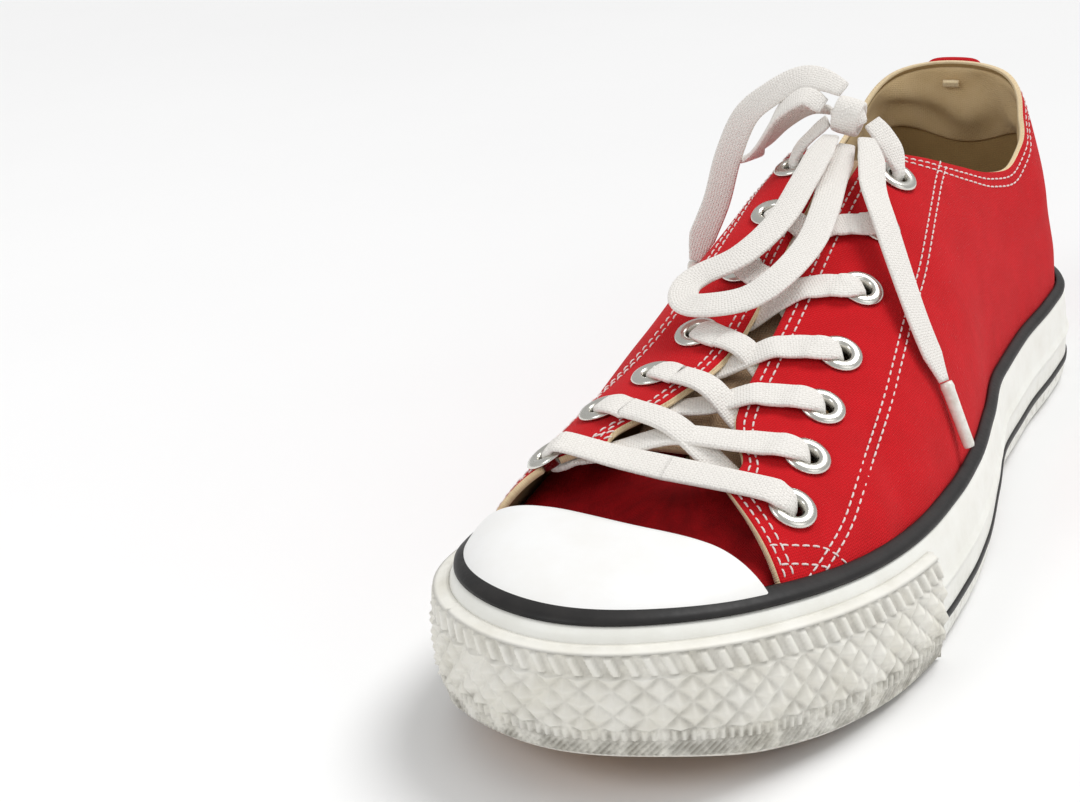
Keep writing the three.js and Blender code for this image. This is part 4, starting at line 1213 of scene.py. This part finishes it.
# x, y of the cap's rear edge
CAP_EDGE = np.array([(-46, -106), (-25, -107.4), (-4, -110.4), (15, -112.6), (34, -117)], float)
CAP_START, CAP_END = float(turn_of(-1, -106.5)) - 1, float(turn_of(1, -118.5))


def make_toe_cap():
    rows, columns = 130, 44
    turn = np.linspace(CAP_START, CAP_END, rows)
    low = rise_at(turn, band_top(y_of(turn)) - 1.5, 1.0)

    def behind(rise):
        point = last_point(turn, rise, 1.0)
        return point[..., 1] - along(CAP_EDGE, 1, point[..., 0])

    high = np.maximum(crossing(behind, low, np.ones(rows)), low + 0.03)
    share = np.linspace(0, 1, columns)[None]
    rise = mix(low[:, None], high[:, None], 1 - (1 - share) ** 1.3)
    grid = turn_grid(CAP_START, CAP_END, rows, columns)
    reach = (high - low)[:, None] * (1 - share) * 70
    rounding = 1 - np.exp(-(reach / 1.2) ** 1.2) * 0.55
    outer = last_point(grid, rise, 0.4 + 1.6 * rounding)
    inner = last_point(grid, rise, 0.25)
    piece = sheet_mesh("toe_cap_rubber", outer, inner, [CAP_RUBBER], arc_uv(outer))
    hand_over(piece, "cap_rubber", "toe_cap")


make_toe_cap()

# ------------------------------------------------------------------ side band

AROUND = 420
LOW_STRIPE_SHARE = 0.25
# share of the band's height, distance out
BAND_SECTION = [
    (0.03, 0.4), (0.03, 1.6), (0.045, 2.3), (0.09, 2.85), (0.16, 3.1), (0.3, 3.25), (0.45, 3.38),
    (0.495, 3.45), (0.508, 3.95), (0.53, 4.15), (0.552, 3.95), (0.565, 3.4), (0.62, 3.35), (0.75, 3.15),
    (0.86, 2.95), (0.915, 2.8), (0.935, 2.4), (0.935, 0.4), (0.5, 0.4),
]
# height over the band's top or over the low line's middle, distance out
PIPING_SECTION = [
    (-PIPING_HEIGHT, 0.4), (-PIPING_HEIGHT, 2.4), (-2.05, 2.9), (-1.4, 3.05), (-0.7, 2.75), (-0.2, 2.1),
    (0.15, 1.3), (0.3, 0.8), (0.2, 0.35),
]
LOW_LINE_SECTION = [
    (-1.15, 2.6), (-1.1, 3.35), (-0.8, 3.62), (0, 3.7), (0.8, 3.68), (1.1, 3.45), (1.15, 2.6),
]


def band_height(y, share):
    return mix(underside(y), band_top(y), share)


def wrap_round(name, section, height_of, material):
    """A strip of one cross-section laid all round the shoe's wall."""
    turn = np.linspace(0, 1, AROUND, endpoint=False)
    loops = [wall_point(turn, height_of(y_of(turn), at), out) for at, out in section]
    return loops_mesh(name, loops, material)


def make_band():
    band = wrap_round("side_band", BAND_SECTION, band_height, BAND_RUBBER)
    hand_over(band, "band_rubber", "foxing")
    piping = wrap_round("top_piping", PIPING_SECTION, lambda y, down: band_top(y) + down, BLACK_RUBBER)
    hand_over(piping, "black_rubber", "stripe_top")
    line = wrap_round(
        "low_line", LOW_LINE_SECTION, lambda y, down: band_height(y, LOW_STRIPE_SHARE) + down, BLACK_RUBBER)
    hand_over(line, "black_rubber")


make_band()

# ------------------------------------------------------------------ toe bumper

RIB_PITCH, RIB_SLANT = 4.0, 0.45
DIAMOND_HALF_WIDE, DIAMOND_HALF_TALL = 3.35, 3.3
SHORT_RIB_PITCH, FINE_PITCH, FINE_SLANT = 2.1, 1.5, 0.8
BUMPER_FACE = 28.5
# top, bottom and height of each row of the moulding, measured down from the bumper's top edge
LIP, RIBS, BASE_RIB = (0.0, 1.0, 0.9), (1.3, 5.9, 1.0), (6.0, 6.5, 0.45)
DIAMONDS, SHORT_RIBS, FINE_RIBS = (6.4, 19.6, 1.9), (19.9, 22.6, 0.7), (23.0, BUMPER_FACE - 0.6, 0.34)


def moulding(s, down):
    """Height of the moulded pattern over the bumper's face: s along it, down from its top edge."""
    soft = 0.25

    def zone(row, shape=1.0):
        top, bottom, height = row
        inside = smooth_step((down - top) / soft + 0.5) * smooth_step((bottom - down) / soft + 0.5)
        return height * shape * inside

    def ridge(position):
        return np.abs(position % 1 - 0.5) * 2

    u, w = s / DIAMOND_HALF_WIDE, (down - DIAMONDS[0]) / DIAMOND_HALF_TALL
    p, q = (u + w) / 2, (u - w) / 2
    pyramids = 1 - 2 * np.maximum(np.abs(p - np.round(p)), np.abs(q - np.round(q)))
    return (zone(LIP) + zone(RIBS, smooth_step((0.62 - ridge((s - down * RIB_SLANT) / RIB_PITCH)) / 0.3))
            + zone(DIAMONDS, pyramids) + zone(BASE_RIB)
            + zone(SHORT_RIBS, smooth_step((0.6 - ridge(s / SHORT_RIB_PITCH)) / 0.35))
            + zone(FINE_RIBS, 0.5 + 0.5 * np.sin((s + down * FINE_SLANT) / FINE_PITCH * 2 * np.pi)) - 0.2)


BUMPER_FROM, BUMPER_TO = float(turn_of(-1, -64.0)) - 1, float(turn_of(1, -67.0))
BUMPER_STEP, BUMPER_COLUMNS = 0.42, 72
BUMPER_BACK, BUMPER_END = 3.0, 4.3
SEAM_SHARE, OVERLAP = 0.36, 0.35


def make_bumper():
    fine = np.linspace(BUMPER_FROM, BUMPER_TO, 3000)
    length = lengths(np.stack(outline(fine, BUMPER_BACK), -1))
    s = np.linspace(0, length[-1], int(length[-1] / BUMPER_STEP))
    turn = np.interp(s, length, fine)
    y = y_of(turn)
    share = np.linspace(0, 1, BUMPER_COLUMNS)[None]
    height = mix((band_top(y) - BUMPER_DROP)[:, None], (underside(y) + 0.8)[:, None], share)
    s = s[:, None]
    down = share * BUMPER_FACE
    crown = 3.7 + 1.6 * smooth_step((1 - share) / 0.06) * smooth_step(share / 0.03)
    crown = crown + 0.35 * np.sin(share * np.pi) - 0.9 * smooth_step((share - 0.72) / 0.28)
    pattern = moulding(s, down)
    seam_at = SEAM_SHARE * length[-1]
    seam = np.exp(-((s - seam_at) / 0.5) ** 2)
    overlap = OVERLAP * smooth_step((seam_at - s) / 0.4 + 0.5)
    ends = smooth_step(s / 1.2) * smooth_step((length[-1] - s) / 1.2)
    out = mix(BUMPER_END, crown + pattern * 0.95 - 0.8 * seam + overlap, ends)
    grid = turn[:, None] * np.ones((1, BUMPER_COLUMNS))
    outer = wall_point(grid, height, out)[:, ::-1]
    inner = wall_point(grid, height, BUMPER_BACK)[:, ::-1]
    piece = sheet_mesh("bumper_strip", outer, inner, [BUMPER_RUBBER], arc_uv(outer))
    # How deep each point sits in the moulding's hollows, weighted towards the bottom: the amount of painted
    # shade.
    hollow = np.clip(0.75 - pattern / 0.9, 0, 1)
    low = np.broadcast_to(smooth_step((down - 12) / 14), pattern.shape)
    groove_shade_amount = (hollow * (0.35 + 0.65 * low))[:, ::-1].reshape(-1)
    depth = piece.data.attributes.new("hollow", "FLOAT", "POINT")
    depth.data.foreach_set("value", np.concatenate([groove_shade_amount, np.zeros(groove_shade_amount.size)]))
    hand_over(piece, "bumper_rubber", "toe_bumper")


# Painted shade in the hollows of the bumper's moulding, broken into soft patches.
paint_groove_shade(BUMPER_RUBBER, "hollow", (104, 98, 84), 0.85)
make_bumper()

# ------------------------------------------------------------------ stitches

STITCH_LONG, STITCH_PITCH, STITCH_RADIUS, STITCH_SIDES = 2.1, 2.75, 0.25, 6
# share of a stitch's length, share of its radius, lift
STITCH_RINGS = [(-0.5, 0.35, -0.25), (-0.36, 0.9, 0.1), (0, 1.05, 0.3), (0.36, 0.9, 0.1), (0.5, 0.35, -0.25)]


def stitch_run(lines, name):
    """Rows of short raised stitches. Each line is (places, normals)."""
    corners = [(ring, 2 * math.pi * k / STITCH_SIDES) for ring in STITCH_RINGS for k in range(STITCH_SIDES)]
    points, faces, uvs = [], [], []
    for places, normals in lines:
        length = lengths(places)
        at = np.arange(STITCH_PITCH / 2, length[-1], STITCH_PITCH)

        def read(table, shift=0.0):
            return np.stack([np.interp(at + shift, length, column) for column in table.T], -1)

        normal = unit(read(normals))
        way = unit(read(places, 0.8) - read(places, -0.8))
        side = unit(np.cross(normal, way))
        for centre, w, sd, n in zip(read(places), way, side, normal):
            faces += tube_faces(len(STITCH_RINGS), STITCH_SIDES, len(points))
            for (share, radius, lift), a in corners:
                r = radius * STITCH_RADIUS
                rise = lift * 0.6 + r * math.sin(a) * 0.8
                points.append(centre + w * share * STITCH_LONG + n * rise + sd * r * math.cos(a))
                uvs.append((share, a / (2 * math.pi)))
    piece = make_mesh(name, points, faces, [THREAD], uvs)
    recalculate(piece)
    hand_over(piece, "lace_cotton")


def edge_row(inset, start_share, end_share, count=900):
    """A row a set distance inside the opening's edge of the quarters."""
    turn = mix(QUARTER_FROM, QUARTER_TO, np.linspace(start_share, end_share, count))
    edge = opening_rise(turn)
    step = 0.02
    below = quarter_point(turn, edge - step, 0.0)
    per_rise = np.linalg.norm(quarter_point(turn, edge, 0.0) - below, axis=-1) / step
    return frame_of(turn, edge - inset / per_rise)


def front_row(side, inset, count=60):
    """A row beside the front edge of a quarter, from the band to the throat."""
    turn_edge = QUARTER_FROM if side > 0 else QUARTER_TO
    rise_top = float(opening_rise(np.array([turn_edge]))[0])
    rise = np.linspace(0.42, 1, count) * rise_top
    turn = np.full(count, turn_edge)
    step = 2e-3
    beyond = quarter_point(turn + step * side, rise, 0.0)
    per_turn = np.linalg.norm(beyond - quarter_point(turn, rise, 0.0), axis=-1) / step
    return frame_of(turn + side * inset / per_turn, rise)


def plan_row(points):
    path = smooth_path([(x, y, 0.0) for x, y in points], 1.0)
    return seat(path[:, 0], path[:, 1])


def beside(line, offset):
    """The same row moved sideways along the canvas."""
    places, normals = line
    way = unit(np.gradient(places, axis=0))
    side = unit(np.cross(normals, way))
    return places + side * offset, normals


# x, y of the seams and of the small boxes of stitches that lock the quarters' front corners
OUTER_SEAM = [
    (21, 54.5), (22.4, 44), (24.2, 33), (28.4, 7), (31, -19), (33.4, -42), (35.2, -65), (36.6, -84),
    (35.8, -97), (34, -107.4),
]
INNER_SEAM = [
    (-20.4, 44), (-21.4, 25), (-21.8, 2), (-23.2, -16), (-25.4, -34), (-29.6, -50), (-34, -66), (-38.4, -82),
    (-41.4, -95), (-43, -103),
]
BOXES = [
    [(26, -106.4), (30.6, -101), (35, -95.6), (39.6, -92)],
    [(29.2, -108.4), (32.6, -103.4), (36.2, -98.4), (39.6, -94.8)],
    [(-32.5, -96), (-37.5, -91), (-42.5, -86)], [(-36, -99), (-40, -94.6), (-44, -89.4)],
]
SEAM_HALF = 1.15


def make_stitching():
    rows = [edge_row(2.2, 0.006, 0.994), edge_row(4.6, 0.012, 0.988)]
    rows += [front_row(side, inset) for side in (1, -1) for inset in (1.7, 4.1)]
    for seam in (OUTER_SEAM, INNER_SEAM):
        rows += [beside(plan_row(seam), half) for half in (SEAM_HALF, -SEAM_HALF)]
    rows += [plan_row(line) for line in BOXES]
    stitch_run(rows, "quarter_stitches")
    rows = []
    for side in (-1, 1):
        turn = np.full(60, 0.5 + side * HEEL_STRIP_HALF_TURN * 0.78)
        low = rise_at(turn[:1], band_top(y_of(turn[:1])) + 1, 1.5)[0]
        high = float(opening_rise(turn[:1])[0]) - 0.01
        place, normal = frame_of(turn, np.linspace(low, high, 60))
        rows.append((place + normal * 1.5, normal))
    stitch_run(rows, "heel_strip_stitches")


make_stitching()

# ------------------------------------------------------------------ carried-over solids

# The insole wears the darker cloth: painted shade.
for name, finish in (("outsole", SOLE_RUBBER), ("insole", SHADED_INSOLE_CLOTH)):
    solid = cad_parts[name]
    solid.data.materials.clear()
    solid.data.materials.append(finish)

# ------------------------------------------------------------------ floor and light


def make_floor():
    bpy.ops.mesh.primitive_plane_add(size=60, location=(0, 0, 0))
    floor = bpy.context.object
    floor.name = "floor"
    material, tree, shader, coords = start_material("pale floor", 0.7, specular=0.3)
    patchy = patches(tree, coords.outputs["Object"], 2.0)
    tone = mix_colour(tree, patchy, (0.88, 0.88, 0.88, 1), (0.9, 0.9, 0.9, 1))
    tree.links.new(tone, shader.inputs["Base Color"])
    floor.data.materials.append(material)
    floor.select_set(False)


def make_sun(name, towards_light, strength, softness):
    data = bpy.data.lights.new(name, "SUN")
    data.energy = strength
    data.angle = softness
    light = bpy.data.objects.new(name, data)
    light.rotation_euler = Vector(towards_light).to_track_quat("Z", "Y").to_euler()
    scene.collection.objects.link(light)


LIT_AT = (0, -0.02, 0.04)


def make_light(name, place, size, power):
    data = bpy.data.lights.new(name, "AREA")
    data.shape = "DISK"
    data.size = size
    data.energy = power
    light = bpy.data.objects.new(name, data)
    light.location = place
    light.rotation_euler = (Vector(LIT_AT) - Vector(place)).to_track_quat("-Z", "Y").to_euler()
    scene.collection.objects.link(light)


make_floor()
make_sun("skylight", (0.35, 0.45, 1.0), 1.75, 0.5)
make_light("window", (-0.5, -1.0, 0.9), 0.5, 3.2)
make_light("fill", (1.0, -0.3, 0.6), 0.7, 1.2)
world = bpy.data.worlds.new("studio")
scene.world = world
world.use_nodes = True
world.node_tree.nodes["Background"].inputs["Color"].default_value = (1, 1, 1, 1)
world.node_tree.nodes["Background"].inputs["Strength"].default_value = 0.52
